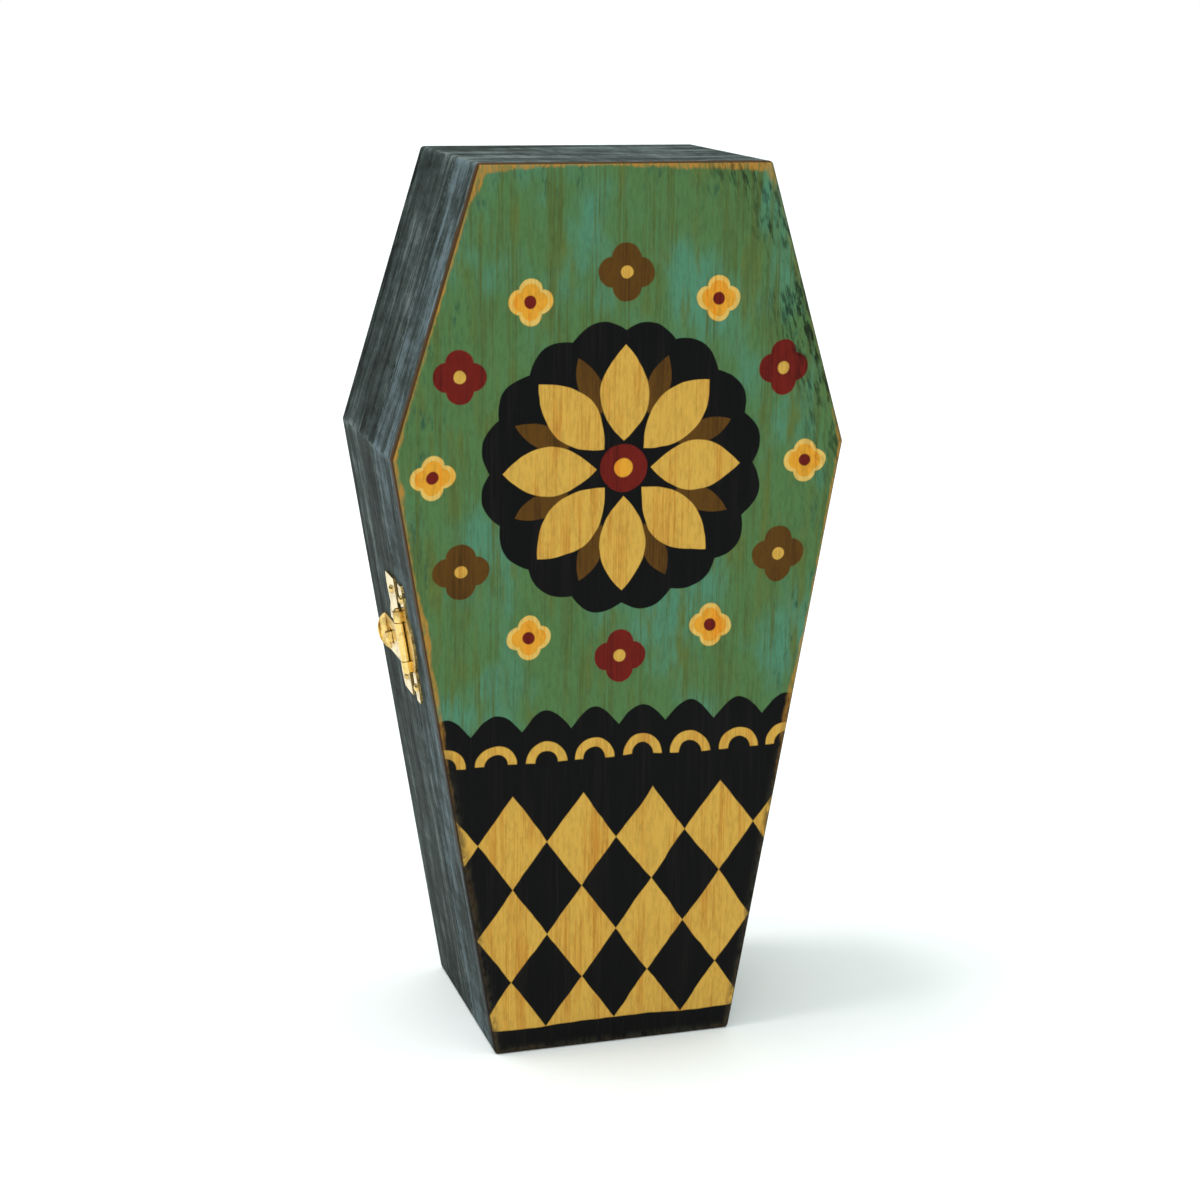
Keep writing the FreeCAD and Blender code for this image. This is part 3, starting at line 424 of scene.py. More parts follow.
GREEN = (0.082, 0.174, 0.062, 1)
TEAL = (0.080, 0.225, 0.135, 1)
OLIVE = (0.105, 0.150, 0.040, 1)
DEEP_GREEN = (0.028, 0.085, 0.055, 1)
GREEN_STREAK = (0.080, 0.120, 0.034, 1)
OCHRE = (0.630, 0.368, 0.066, 1)
OCHRE_STREAK = (0.520, 0.235, 0.034, 1)
BLACK = (0.0040, 0.0040, 0.0042, 1)
BLACK_STREAK = (0.0085, 0.0080, 0.0075, 1)
BROWN = (0.105, 0.046, 0.0075, 1)
BROWN_STREAK = (0.060, 0.027, 0.006, 1)
RED = (0.150, 0.012, 0.008, 1)
RED_STREAK = (0.085, 0.008, 0.006, 1)
YELLOW = (0.720, 0.330, 0.030, 1)
YELLOW_STREAK = (0.740, 0.230, 0.012, 1)
PALE_YELLOW = (0.720, 0.470, 0.120, 1)
WORN_EDGE = (0.430, 0.205, 0.036, 1)
EDGE_BROWN = (0.040, 0.017, 0.010, 1)
EDGE_BLACK = (0.014, 0.011, 0.009, 1)
SMEAR = (0.030, 0.028, 0.020, 1)
OCHRE_PAINT = (OCHRE, OCHRE_STREAK)
BLACK_PAINT = (BLACK, BLACK_STREAK)
BROWN_PAINT = (BROWN, BROWN_STREAK)
RED_PAINT = (RED, RED_STREAK)
YELLOW_PAINT = (YELLOW, YELLOW_STREAK)
PALE_YELLOW_PAINT = (PALE_YELLOW, YELLOW)

# A petal has the radii where it starts and ends, and half its width. A blossom has layers of paint,
# each with its size, and the paint of its heart. The hand's sway and shake have an amount and a length.
ROSETTE_UP = 0.1365
ROSETTE_RADIUS = 0.0305
ROSETTE_SCALLOPS = 16
ROSETTE_SCALLOP_RISE = 0.0022
PETALS = 8
LONG_PETAL = (0.0062, 0.0275, 0.0056)
SHORT_PETAL = (0.0135, 0.0268, 0.0026)
HEART_RADIUS = 0.0054
HEART_DOT_RADIUS = 0.0021
BLOSSOM_RING_RADIUS = 0.0428
BLOSSOM_LOBE_OUT = 0.48
BLOSSOM_LOBE_RADIUS = 0.52
BLOSSOM_HEART = 0.0014
BROWN_BLOSSOM = ([(BROWN_PAINT, 0.0064)], OCHRE_PAINT)
RED_BLOSSOM = ([(RED_PAINT, 0.0060)], OCHRE_PAINT)
YELLOW_BLOSSOM = ([(PALE_YELLOW_PAINT, 0.0050), (YELLOW_PAINT, 0.0039)], RED_PAINT)
BLOSSOM_RING = [BROWN_BLOSSOM, YELLOW_BLOSSOM, RED_BLOSSOM, YELLOW_BLOSSOM] * 3
BORDER_HIGH = 0.0775
BORDER_SCALLOP = 0.0115
BORDER_SCALLOP_RISE = 0.0045
ARCH_UP = 0.0700
ARCH_RADIUS = 0.0037
ARCH_WIDTH = 0.0021
LOZENGE_WIDTH = 0.0165
LOZENGE_HEIGHT = 0.0226
LOZENGE_ROWS = 2.5
BASE_HIGH = 0.006
BORDER_LOW = BASE_HIGH + LOZENGE_ROWS * LOZENGE_HEIGHT
HAND_SWAY = (0.0021, 0.024)
HAND_SHAKE = (0.00045, 0.0042)
NOISE_MIDDLE = (0.5, 0.5, 0.5)
HALFWAY = 0.5
BRUSH_EDGE = 0.00016

FINE_GRAIN = (0.00042, 46)
BROAD_GRAIN = (0.0032, 10)
BROAD_GRAIN_SHARE = 0.5
GRAIN_LEVELS = (0.47, 0.66)
TEAL_CLOUDS = (0.020, 1.6, 0.46, 0.64)
OLIVE_STREAKS = (0.0045, 6, 0.50, 0.70)
SMUDGES = (0.0011, 4, 0.50, 0.70)
SMUDGE_PATCHES = (0.0060, 2, 0.44, 0.62)
NEAR_RIM = (0.013, 0.002)
PITS = (0.0006, 4, 0.40, 0.70)
PIT_TINT = 0.17
GRAIN_HEIGHT = 0.5
PAINT_HEIGHT = 0.35
PAINT_RELIEF = 0.00009
FRONT_ROUGHNESS = (0.35, 0.40)
MATT_GLOSS = 0.06

# Wear shows as far from the rim as rubbing has reached. It fades below the green, and on the
# upper right, where scuffs lie over the paint instead.
RUBBED_PATCHES = (0.016, 1.5, 0.44, 0.64)
CORNER_WEAR = 0.5
CORNER_WEAR_REACH = 0.012
WEAR_REACH = 0.0010
WEAR_SPECKS = (0.0009, 2.5)
WEAR_RAGGED = 0.0012
WEAR_EDGE = 0.0004
WEAR_BREAKS = (0.0005, 4, 0.36, 0.58)
WEAR_STRENGTH = (0.6, 0.3)
GREEN_FROM = (0.05, 0.10)
GREEN_WEAR = (0.95, 0.05)
RIGHT_FROM = (0.012, 0.028)
SPARED_DOWN = (HEIGHT - 0.002, HEIGHT - 0.006)
SPARED_UP = (SHOULDER_UP, SHOULDER_UP + 0.014)
SPARED_WEAR = (-0.85, 1)
HANDLED_RIM = (0.0026, 0.0004)
HANDLED_LEVELS = (0.30, 0.62)
HANDLED_TINT = 0.75
EDGE_LAP = (0.00044, 0.00022)
EDGE_TINT = 0.9
SCUFFS = (0.0009, 5, 0.46, 0.62)
SCUFF_PATCHES = (0.006, 2, 0.38, 0.56)
SCUFF_UP = (SHOULDER_UP - 0.03, SHOULDER_UP + 0.02)
SCUFF_TINT = 0.85

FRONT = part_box("front_panel")[0].y
ART_WRAP = 0.0012
ART_WRAP_RAGGED = 0.0018
ART_EDGE = 0.0002
RIM_PAINT = (0.0011, 0.0014)


def hand_drawn(tree, place):
    """Coordinates that sway and shake a little, so that edges look drawn by hand."""
    for amount, length in (HAND_SWAY, HAND_SHAKE):
        noise = add_node(tree, "ShaderNodeTexNoise", {"Vector": place, "Scale": 1 / length, "Detail": 1})
        push = reckon(tree, "SUBTRACT", noise.outputs["Color"], NOISE_MIDDLE)
        place = reckon(tree, "ADD", place, reckon(tree, "MULTIPLY", push, (amount, amount, amount)))
    return place


def within(tree, margin, edge=BRUSH_EDGE):
    """1 where a margin to an edge is positive."""
    return ease(tree, margin, -edge, edge)


def between(tree, value, low, high):
    return times(tree, within(tree, minus(tree, value, low)), within(tree, minus(tree, high, value)))


def dot(tree, x, z, radius, aside, up):
    """A round spot of a radius, at a place aside and up."""
    distance = length_of(tree, minus(tree, x, aside), minus(tree, z, up))
    return within(tree, minus(tree, radius, distance))


def arc_line(tree, aside, up, radius, half_width, edge=BRUSH_EDGE):
    """A line drawn round a centre, from how far a point lies aside of it and up from it."""
    off_line = calculate(tree, "ABSOLUTE", minus(tree, length_of(tree, aside, up), radius))
    return within(tree, minus(tree, half_width, off_line), edge)


def scallops(tree, value, step, rise, start):
    """A wavy edge of round scallops, one for each step of a value, which rise from a start."""
    wave = calculate(tree, "SINE", times(tree, value, math.pi / step))
    return scaled(tree, calculate(tree, "ABSOLUTE", wave), rise, start)


def lozenges(tree, x, z):
    """Every second field between two sets of slanting lines, from the base to the border."""
    across = calculate(tree, "DIVIDE", x, LOZENGE_WIDTH)
    along = calculate(tree, "DIVIDE", minus(tree, z, BASE_HIGH), LOZENGE_HEIGHT)
    side_of_line = 1
    from_line = 1
    for way in ("ADD", "SUBTRACT"):
        crossing = calculate(tree, way, across, along)
        wave = calculate(tree, "SINE", times(tree, crossing, math.pi))
        side_of_line = times(tree, calculate(tree, "SIGN", wave), side_of_line)
        from_line = calculate(tree, "MINIMUM", calculate(tree, "PINGPONG", crossing, HALFWAY), from_line)
    line_step = LOZENGE_WIDTH * LOZENGE_HEIGHT / math.hypot(LOZENGE_WIDTH, LOZENGE_HEIGHT)
    fields = within(tree, times(tree, side_of_line, times(tree, from_line, line_step)))
    return times(tree, fields, between(tree, z, BASE_HIGH, BORDER_LOW))


def arches(tree, x, z):
    """A row of round arches, one under each scallop of the border."""
    aside = minus(tree, calculate(tree, "FLOORED_MODULO", x, BORDER_SCALLOP), BORDER_SCALLOP / 2)
    up = minus(tree, z, ARCH_UP)
    return times(tree, arc_line(tree, aside, up, ARCH_RADIUS, ARCH_WIDTH / 2), within(tree, up))


def petal_ring(tree, radius, angle, shift, shape):
    """Leaf-shaped petals between two radii, all round the rosette."""
    start, end, half_width = shape
    sector = 2 * math.pi / PETALS
    turned = calculate(tree, "ADD", angle, shift * sector)
    folded = calculate(tree, "PINGPONG", turned, sector / 2)
    along = times(tree, radius, calculate(tree, "COSINE", folded))
    aside = times(tree, radius, calculate(tree, "SINE", folded))
    share = calculate(tree, "DIVIDE", minus(tree, along, (start + end) / 2), (end - start) / 2)
    width_here = minus(tree, half_width, times(tree, times(tree, share, share), half_width))
    return within(tree, minus(tree, width_here, aside))


def rosette(tree, x, z):
    """A scalloped disc with two rings of petals and a dotted heart, each as its mask and its paint."""
    up = minus(tree, z, ROSETTE_UP)
    radius = length_of(tree, x, up)
    angle = calculate(tree, "ARCTAN2", x, up)
    rim = scallops(tree, angle, 2 * math.pi / ROSETTE_SCALLOPS, ROSETTE_SCALLOP_RISE, ROSETTE_RADIUS)
    return [
        (within(tree, minus(tree, rim, radius)), BLACK_PAINT),
        (petal_ring(tree, radius, angle, HALFWAY, SHORT_PETAL), BROWN_PAINT),
        (petal_ring(tree, radius, angle, 0, LONG_PETAL), OCHRE_PAINT),
        (within(tree, minus(tree, HEART_RADIUS, radius)), RED_PAINT),
        (within(tree, minus(tree, HEART_DOT_RADIUS, radius)), YELLOW_PAINT),
    ]


def blossom(tree, x, z, size, aside, up):
    """A flower of four round lobes at a place on the panel."""
    across = calculate(tree, "ABSOLUTE", minus(tree, x, aside))
    along = calculate(tree, "ABSOLUTE", minus(tree, z, up))
    outwards = minus(tree, calculate(tree, "MAXIMUM", across, along), BLOSSOM_LOBE_OUT * size)
    distance = length_of(tree, outwards, calculate(tree, "MINIMUM", across, along))
    return within(tree, minus(tree, BLOSSOM_LOBE_RADIUS * size, distance))


def blossom_ring(tree, x, z):
    """Blossoms all round the rosette, each as its layers and its heart."""
    motifs = []
    for number, (layers, heart_paint) in enumerate(BLOSSOM_RING):
        turn = 2 * math.pi * number / len(BLOSSOM_RING)
        aside = BLOSSOM_RING_RADIUS * math.sin(turn)
        up = ROSETTE_UP + BLOSSOM_RING_RADIUS * math.cos(turn)
        motifs += [(blossom(tree, x, z, size, aside, up), paint) for paint, size in layers]
        motifs.append((dot(tree, x, z, BLOSSOM_HEART, aside, up), heart_paint))
    return motifs


def painted_motifs(tree, place):
    """The motifs from the lowest to the uppermost, each as its mask and its paint."""
    drawn = hand_drawn(tree, place)
    x = axis_of(tree, drawn, "X")
    z = axis_of(tree, drawn, "Z")
    border_top = scallops(tree, x, BORDER_SCALLOP, BORDER_SCALLOP_RISE, BORDER_HIGH)
    lower_part = [
        (within(tree, minus(tree, border_top, z)), BLACK_PAINT),
        (lozenges(tree, x, z), OCHRE_PAINT),
        (arches(tree, x, z), OCHRE_PAINT),
    ]
    return lower_part + rosette(tree, x, z) + blossom_ring(tree, x, z)


def green_ground(tree, place, near_rim):
    """The green under the motifs, clouded with teal, streaked with olive and smudged near the rim."""
    ground = mix_colours(tree, marks(tree, place, *TEAL_CLOUDS), GREEN, TEAL)
    ground = mix_colours(tree, marks(tree, place, *OLIVE_STREAKS), ground, OLIVE)
    smudges = times(tree, marks(tree, place, *SMUDGES), marks(tree, place, *SMUDGE_PATCHES))
    return tint(tree, smudges, near_rim, ground, DEEP_GREEN)


def painted_front(tree, place, near_rim):
    """The painted panel as its colour, the lines of its grain and the height of its paint."""
    fine = streaks(tree, place, *FINE_GRAIN)
    grain_lines = mix_values(tree, BROAD_GRAIN_SHARE, fine, streaks(tree, place, *BROAD_GRAIN))
    plain = green_ground(tree, place, near_rim)
    grained = GREEN_STREAK
    height = times(tree, fine, GRAIN_HEIGHT)
    for mask, (colour, streak_colour) in painted_motifs(tree, place):
        plain = mix_colours(tree, mask, plain, colour)
        grained = mix_colours(tree, mask, grained, streak_colour)
        height = scaled(tree, mask, PAINT_HEIGHT, height)
    colour = mix_colours(tree, ease(tree, grain_lines, *GRAIN_LEVELS), plain, grained)
    colour = tint(tree, marks(tree, place, *PITS), PIT_TINT, colour, BLACK)
    return colour, grain_lines, height


def worn_rim(tree, place, from_rim, to_right, colour):
    """A colour with the wear of the rim over it: dark from handling below, bared wood above."""
    up = axis_of(tree, place, "Z")
    on_green = ease(tree, up, *GREEN_FROM)
    specks = streaks(tree, place, *WEAR_SPECKS)
    handled = times(tree, ease(tree, from_rim, *HANDLED_RIM), ease(tree, specks, *HANDLED_LEVELS))
    handled = times(tree, handled, minus(tree, 1, on_green))
    colour = tint(tree, handled, HANDLED_TINT, colour, SMEAR)

    at_corner = ease(tree, distance_to_corners(tree, place), CORNER_WEAR_REACH, 0)
    rubbing = scaled(tree, at_corner, CORNER_WEAR, marks(tree, place, *RUBBED_PATCHES))
    wear_width = scaled(tree, specks, WEAR_RAGGED, times(tree, rubbing, WEAR_REACH))
    bared = within(tree, minus(tree, wear_width, from_rim), WEAR_EDGE)
    spared = times(tree, ease(tree, up, *SPARED_DOWN), ease(tree, up, *SPARED_UP))
    spared = times(tree, spared, to_right)
    for share in (
        scaled(tree, marks(tree, place, *WEAR_BREAKS), *WEAR_STRENGTH),
        scaled(tree, on_green, *GREEN_WEAR),
        scaled(tree, spared, *SPARED_WEAR),
    ):
        bared = times(tree, bared, share)
    colour = mix_colours(tree, bared, colour, WORN_EDGE)

    edge_colour = mix_colours(tree, on_green, EDGE_BLACK, EDGE_BROWN)
    return tint(tree, ease(tree, from_rim, *EDGE_LAP), EDGE_TINT, colour, edge_colour)


def scuffed_corner(tree, place, near_rim, to_right, colour):
    """A colour with dark scuffs over it, along the upper right edge."""
    turned = add_node(tree, "ShaderNodeMapping", {"Vector": place, "Rotation": (0, UPPER_LEAN, 0)})
    scuffs = marks(tree, turned.outputs["Vector"], *SCUFFS)
    upper = ease(tree, axis_of(tree, place, "Z"), *SCUFF_UP)
    for limit in (marks(tree, place, *SCUFF_PATCHES), near_rim, to_right, upper):
        scuffs = times(tree, scuffs, limit)
    return tint(tree, scuffs, SCUFF_TINT, colour, BLACK)


def front_panel_material():
    material, tree, shader, place = new_material("front_panel_paint")
    from_rim = place_group(tree, outline_distance, Vector=place)["Distance"]
    near_rim = ease(tree, from_rim, *NEAR_RIM)
    to_right = ease(tree, axis_of(tree, place, "X"), *RIGHT_FROM)
    art, grain_lines, height = painted_front(tree, place, near_rim)
    art = worn_rim(tree, place, from_rim, to_right, art)
    art = scuffed_corner(tree, place, near_rim, to_right, art)

    paint = brushed_paint(tree, place, place, LID_PAINT)
    wood = place_group(tree, bare_wood, Vector=place)
    behind = mix_colours(tree, ease(tree, from_rim, *RIM_PAINT), paint["Color"], wood["Color"])
    from_front = minus(tree, axis_of(tree, place, "Y"), FRONT)
    wrap = scaled(tree, streaks(tree, place, *SMEARS), ART_WRAP_RAGGED, ART_WRAP)
    past_art = within(tree, minus(tree, from_front, wrap), ART_EDGE)
    colour = mix_colours(tree, past_art, art, behind)
    roughness = scaled(tree, grain_lines, *FRONT_ROUGHNESS)
    surface(tree, shader, colour, roughness, height, PAINT_RELIEF, MATT_GLOSS)
    return material


dress(front_panel_material(), "front_panel")


# Hinges, hasp and nails: stamped and rolled from thin brass sheet, polished, with a little tarnish.
# The leaves and plates are held by round-headed brass nails.

BRASS = (0.84, 0.60, 0.22, 1)
BRASS_DARK = (0.30, 0.17, 0.04, 1)
BRASS_STAINS = (0.0040, 1)
BRASS_SPECKS = (0.0007, 1)
BRASS_SPECK_WEIGHT = 0.35
BRASS_LINES = (0.00012, 30)
TARNISH_LEVELS = (0.58, 0.88)
TARNISH_TINT = 0.7
BRASS_ROUGHNESS = (0.20, 0.10)
METAL_RELIEF = 0.00003


def brass_material():
    material, tree, shader, place = new_material("polished_brass")
    stains = streaks(tree, place, *BRASS_STAINS)
    stains = scaled(tree, streaks(tree, place, *BRASS_SPECKS), BRASS_SPECK_WEIGHT, stains)
    tarnish = ease(tree, stains, *TARNISH_LEVELS)
    colour = tint(tree, tarnish, TARNISH_TINT, BRASS, BRASS_DARK)
    lines = streaks(tree, place, *BRASS_LINES)
    surface(tree, shader, colour, scaled(tree, tarnish, *BRASS_ROUGHNESS), lines, METAL_RELIEF)
    shader.inputs["Metallic"].default_value = 1.0
    return material


hinge_pieces = [
    f"{hinge}_hinge_{piece}" for hinge in ("lower", "upper") for piece in ("box_leaf", "lid_leaf", "pin")
]
hasp_pieces = ["hasp_plate", "hasp_flap", "hasp_pin", "catch_plate"]
nail_groups = ["hinge_box_nails", "hinge_lid_nails", "hasp_nails", "catch_nails"]
dress(brass_material(), *hinge_pieces, *hasp_pieces, *nail_groups)


# Spring seat, plate and dowels: turned from the same soft wood as the case and left bare.
# The seat is glued to the back panel, and the plate to the jack's flat back.


def turned_wood_material():
    material, tree, shader, place = new_material("turned_wood")
    wood = place_group(tree, bare_wood, Vector=place)
    surface(tree, shader, wood["Color"], wood["Roughness"], wood["Height"], WOOD_RELIEF)
    return material


dress(turned_wood_material(), "spring_seat", "seat_dowel", "jack_plate", "plate_dowel", "neck_dowel")


# Spring: bright steel wire, wound in eight turns and glued into the grooves of seat and plate.
# It is pressed nearly flat while the lid is shut, and stretches as the jack comes out.

STEEL = (0.56, 0.57, 0.58, 1)
STEEL_DARK = (0.30, 0.30, 0.31, 1)
STEEL_STAINS = (0.003, 1)
STEEL_STAIN_LEVELS = (0.5, 0.75)
STEEL_LINES = (0.0002, 4)
STEEL_ROUGHNESS = (0.3, 0.12)
WIRE_RADIUS = 0.0004
WIRE_SIDES = 14
SPRING_TURNS = 8
SPRING_STEPS_PER_TURN = 40
spring_low, spring_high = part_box("jack_spring")
SPRING_START = spring_high.y - WIRE_RADIUS
SPRING_END = spring_low.y + WIRE_RADIUS


def new_piece(name, bm):
    """A smooth mesh object made from a bmesh."""
    mesh = bpy.data.meshes.new(name)
    bm.to_mesh(mesh)
    bm.free()
    for polygon in mesh.polygons:
        polygon.use_smooth = True
    piece = bpy.data.objects.new(name, mesh)
    bpy.context.scene.collection.objects.link(piece)
    return piece


def steel_material():
    material, tree, shader, place = new_material("spring_steel")
    stains = streaks(tree, place, *STEEL_STAINS)
    colour = mix_colours(tree, ease(tree, stains, *STEEL_STAIN_LEVELS), STEEL, STEEL_DARK)
    lines = streaks(tree, place, *STEEL_LINES)
    surface(tree, shader, colour, scaled(tree, stains, *STEEL_ROUGHNESS), lines, METAL_RELIEF)
    shader.inputs["Metallic"].default_value = 1.0
    return material


def make_wire(material):
    """A modifier's node group that turns a line of edges into round wire with closed ends."""
    group = bpy.data.node_groups.new("Round wire", "GeometryNodeTree")
    group.interface.new_socket("Line", in_out="INPUT", socket_type="NodeSocketGeometry")
    group.interface.new_socket("Wire", in_out="OUTPUT", socket_type="NodeSocketGeometry")
    line = group.nodes.new("NodeGroupInput").outputs["Line"]
    curve = add_node(group, "GeometryNodeMeshToCurve", {"Mesh": line}).outputs["Curve"]
    circle = {"Resolution": WIRE_SIDES, "Radius": WIRE_RADIUS}
    section = add_node(group, "GeometryNodeCurvePrimitiveCircle", circle).outputs["Curve"]
    sweep = {"Curve": curve, "Profile Curve": section, "Fill Caps": True}
    wire = add_node(group, "GeometryNodeCurveToMesh", sweep).outputs["Mesh"]
    smooth = add_node(group, "GeometryNodeSetShadeSmooth", {"Geometry": wire}).outputs["Geometry"]
    finished = add_node(group, "GeometryNodeSetMaterial", {"Geometry": smooth, "Material": material})
    add_node(group, "NodeGroupOutput", {"Wire": finished.outputs["Geometry"]})
    return group


def make_spring():
    middle_up = (spring_low.z + spring_high.z) / 2
    coil_radius = (spring_high.x - spring_low.x) / 2 - WIRE_RADIUS
    steps = SPRING_TURNS * SPRING_STEPS_PER_TURN
    bm = bmesh.new()
    first = bm.verts.new((coil_radius, SPRING_START, middle_up))
    bmesh.ops.spin(
        bm,
        geom=[first],
        cent=(0, SPRING_START, middle_up),
        axis=(0, -1, 0),
        dvec=(0, (SPRING_END - SPRING_START) / steps, 0),
        angle=2 * math.pi * SPRING_TURNS,
        steps=steps,
        use_duplicate=False,
    )
    spring = new_piece("wound_spring", bm)
    steel = steel_material()
    spring.data.materials.append(steel)
    spring.modifiers.new("wire", "NODES").node_group = make_wire(steel)
    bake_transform(spring)
    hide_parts("jack_spring")


make_spring()


# Jack: a figure turned from wood in a body, two arms, a collar, a head, a nose, a cap and a bobble.
# Each is painted in satin colours and glued to the next, and the head has a plain painted face.

ROBE = (0.27, 0.022, 0.014, 1)
ROBE_DARK = (0.14, 0.012, 0.009, 1)
CAP_GREEN = (0.030, 0.150, 0.095, 1)
CAP_GREEN_DARK = (0.016, 0.085, 0.055, 1)
FACE = (0.76, 0.53, 0.33, 1)
FACE_LIGHT = (0.82, 0.62, 0.42, 1)
BLUSH = (0.62, 0.17, 0.10, 1)
INK = (0.012, 0.010, 0.009, 1)
IVORY = (0.80, 0.74, 0.60, 1)
LIP = (0.30, 0.030, 0.025, 1)
SATIN_LINES = (0.0004, 20)
SATIN_CLOUDS = (0.006, 1.5)
SATIN_CLOUD_SHARE = 0.4
SATIN_LEVELS = (0.46, 0.68)
SATIN_ROUGHNESS = (0.3, 0.22)
SATIN_RELIEF = 0.00005

head_low, head_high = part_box("jack_head")
JACK_AXIS_Y = (head_low.y + head_high.y) / 2
HEAD_CENTRE = (0, JACK_AXIS_Y, head_high.z - (head_high.x - head_low.x) / 2)
ROBE_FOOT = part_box("jack_body")[0].z
HEM = (0.0048, 0.0072)
BELT = (0.0345, 0.0375)
BUTTON_RADIUS = 0.0019
BUTTON_HEIGHTS = (0.016, 0.027, 0.046)
HAND_LENGTH = 0.0075
CUFF_WIDTH = 0.0018
FINE_EDGE = 0.0001
EYE_ASIDE = 0.0046
EYE_UP = 0.0028
EYE_WIDTH = 0.0013
EYE_HEIGHT = 0.0019
EYE_EDGE = (1.08, 0.94)
GLINT_ASIDE = 0.0042
GLINT_UP = 0.0036
GLINT_RADIUS = 0.00042
BROW_UP = 0.0036
BROW_RADIUS = 0.0030
BROW_RISE = 0.0019
BROW_THICK = 0.00042
SMILE_UP = 0.0012
SMILE_RADIUS = 0.0072
SMILE_HALF_WIDTH = 0.0042
SMILE_THICK = 0.00038
CHEEK_ASIDE = 0.0070
CHEEK_UP = -0.0030
CHEEK_FADE = (0.0030, 0.0004)
CHEEK_TINT = 0.7
CAP_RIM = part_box("jack_cap")[0].z
CAP_GORES = 8
CAP_GORE_EDGE = 0.04
CAP_BAND = 0.0024


def make_satin_paint():
    """Satin paint on turned wood: the brush's lines run along the vector's Z axis."""
    inputs = [("Vector", "Vector"), ("Color", "Color"), ("Shade", "Color")]
    group, given = new_group("Satin paint", inputs, FINISH)
    fine = streaks(group, given["Vector"], *SATIN_LINES)
    lines = mix_values(group, SATIN_CLOUD_SHARE, fine, streaks(group, given["Vector"], *SATIN_CLOUDS))
    colour = mix_colours(group, ease(group, lines, *SATIN_LEVELS), given["Color"], given["Shade"])
    put_out(group, Color=colour, Roughness=scaled(group, lines, *SATIN_ROUGHNESS), Height=lines)
    return group


satin_paint = make_satin_paint()


def satin_surface(tree, shader, place, colour, shade):
    paint = place_group(tree, satin_paint, Vector=place, Color=colour, Shade=shade)
    surface(tree, shader, paint["Color"], paint["Roughness"], paint["Height"], SATIN_RELIEF)


def robe_material():
    material, tree, shader, place = new_material("painted_robe")
    drawn = hand_drawn(tree, place)
    x = axis_of(tree, drawn, "X")
    z = minus(tree, axis_of(tree, drawn, "Z"), ROBE_FOOT)
    in_front = within(tree, minus(tree, JACK_AXIS_Y, axis_of(tree, place, "Y")))
    trim = calculate(tree, "MAXIMUM", between(tree, z, *HEM), between(tree, z, *BELT))
    for height in BUTTON_HEIGHTS:
        button = times(tree, dot(tree, x, z, BUTTON_RADIUS, 0, height), in_front)
        trim = calculate(tree, "MAXIMUM", trim, button)
    colour = mix_colours(tree, trim, ROBE, OCHRE)
    shade = mix_colours(tree, trim, ROBE_DARK, OCHRE_STREAK)
    satin_surface(tree, shader, place, colour, shade)
    return material


def arm_material(name, node):
    low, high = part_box(node)
    outwards = 1 if high.x > -low.x else -1
    wrist = max(high.x, -low.x) - HAND_LENGTH
    material, tree, shader, place = new_material(name)
    reach = times(tree, axis_of(tree, place, "X"), outwards)
    hand = within(tree, minus(tree, reach, wrist))
    cuff = between(tree, reach, wrist - CUFF_WIDTH, wrist)
    colour = mix_colours(tree, hand, mix_colours(tree, cuff, ROBE, OCHRE), FACE)
    shade = mix_colours(tree, hand, mix_colours(tree, cuff, ROBE_DARK, OCHRE_STREAK), FACE_LIGHT)
    satin_surface(tree, shader, place, colour, shade)
    return material


def face_material():
    material, tree, shader, place = new_material("painted_face")
    from_centre = reckon(tree, "SUBTRACT", place, HEAD_CENTRE)
    x = axis_of(tree, from_centre, "X")
    z = axis_of(tree, from_centre, "Z")
    aside = calculate(tree, "ABSOLUTE", x)
    in_front = within(tree, times(tree, axis_of(tree, from_centre, "Y"), -1))

    from_cheek = length_of(tree, minus(tree, aside, CHEEK_ASIDE), minus(tree, z, CHEEK_UP))
    cheeks = times(tree, ease(tree, from_cheek, *CHEEK_FADE), CHEEK_TINT)

    from_eye = minus(tree, aside, EYE_ASIDE)
    eye_x = calculate(tree, "DIVIDE", from_eye, EYE_WIDTH)
    eye_z = calculate(tree, "DIVIDE", minus(tree, z, EYE_UP), EYE_HEIGHT)
    eyes = ease(tree, length_of(tree, eye_x, eye_z), *EYE_EDGE)
    glints = dot(tree, aside, z, GLINT_RADIUS, GLINT_ASIDE, GLINT_UP)

    brow_z = minus(tree, z, BROW_UP)
    brows = arc_line(tree, from_eye, brow_z, BROW_RADIUS, BROW_THICK, FINE_EDGE)
    brows = times(tree, brows, within(tree, minus(tree, brow_z, BROW_RISE)))

    smile_z = minus(tree, z, SMILE_UP)
    smile = arc_line(tree, x, smile_z, SMILE_RADIUS, SMILE_THICK, FINE_EDGE)
    smile = times(tree, smile, within(tree, times(tree, smile_z, -1)))
    smile = times(tree, smile, within(tree, minus(tree, SMILE_HALF_WIDTH, aside)))

    colour, shade = FACE, FACE_LIGHT
    for mask, paint in ((cheeks, BLUSH), (eyes, INK), (glints, IVORY), (brows, INK), (smile, LIP)):
        share = times(tree, mask, in_front)
        colour = mix_colours(tree, share, colour, paint)
        shade = mix_colours(tree, share, shade, paint)
    satin_surface(tree, shader, place, colour, shade)
    return material


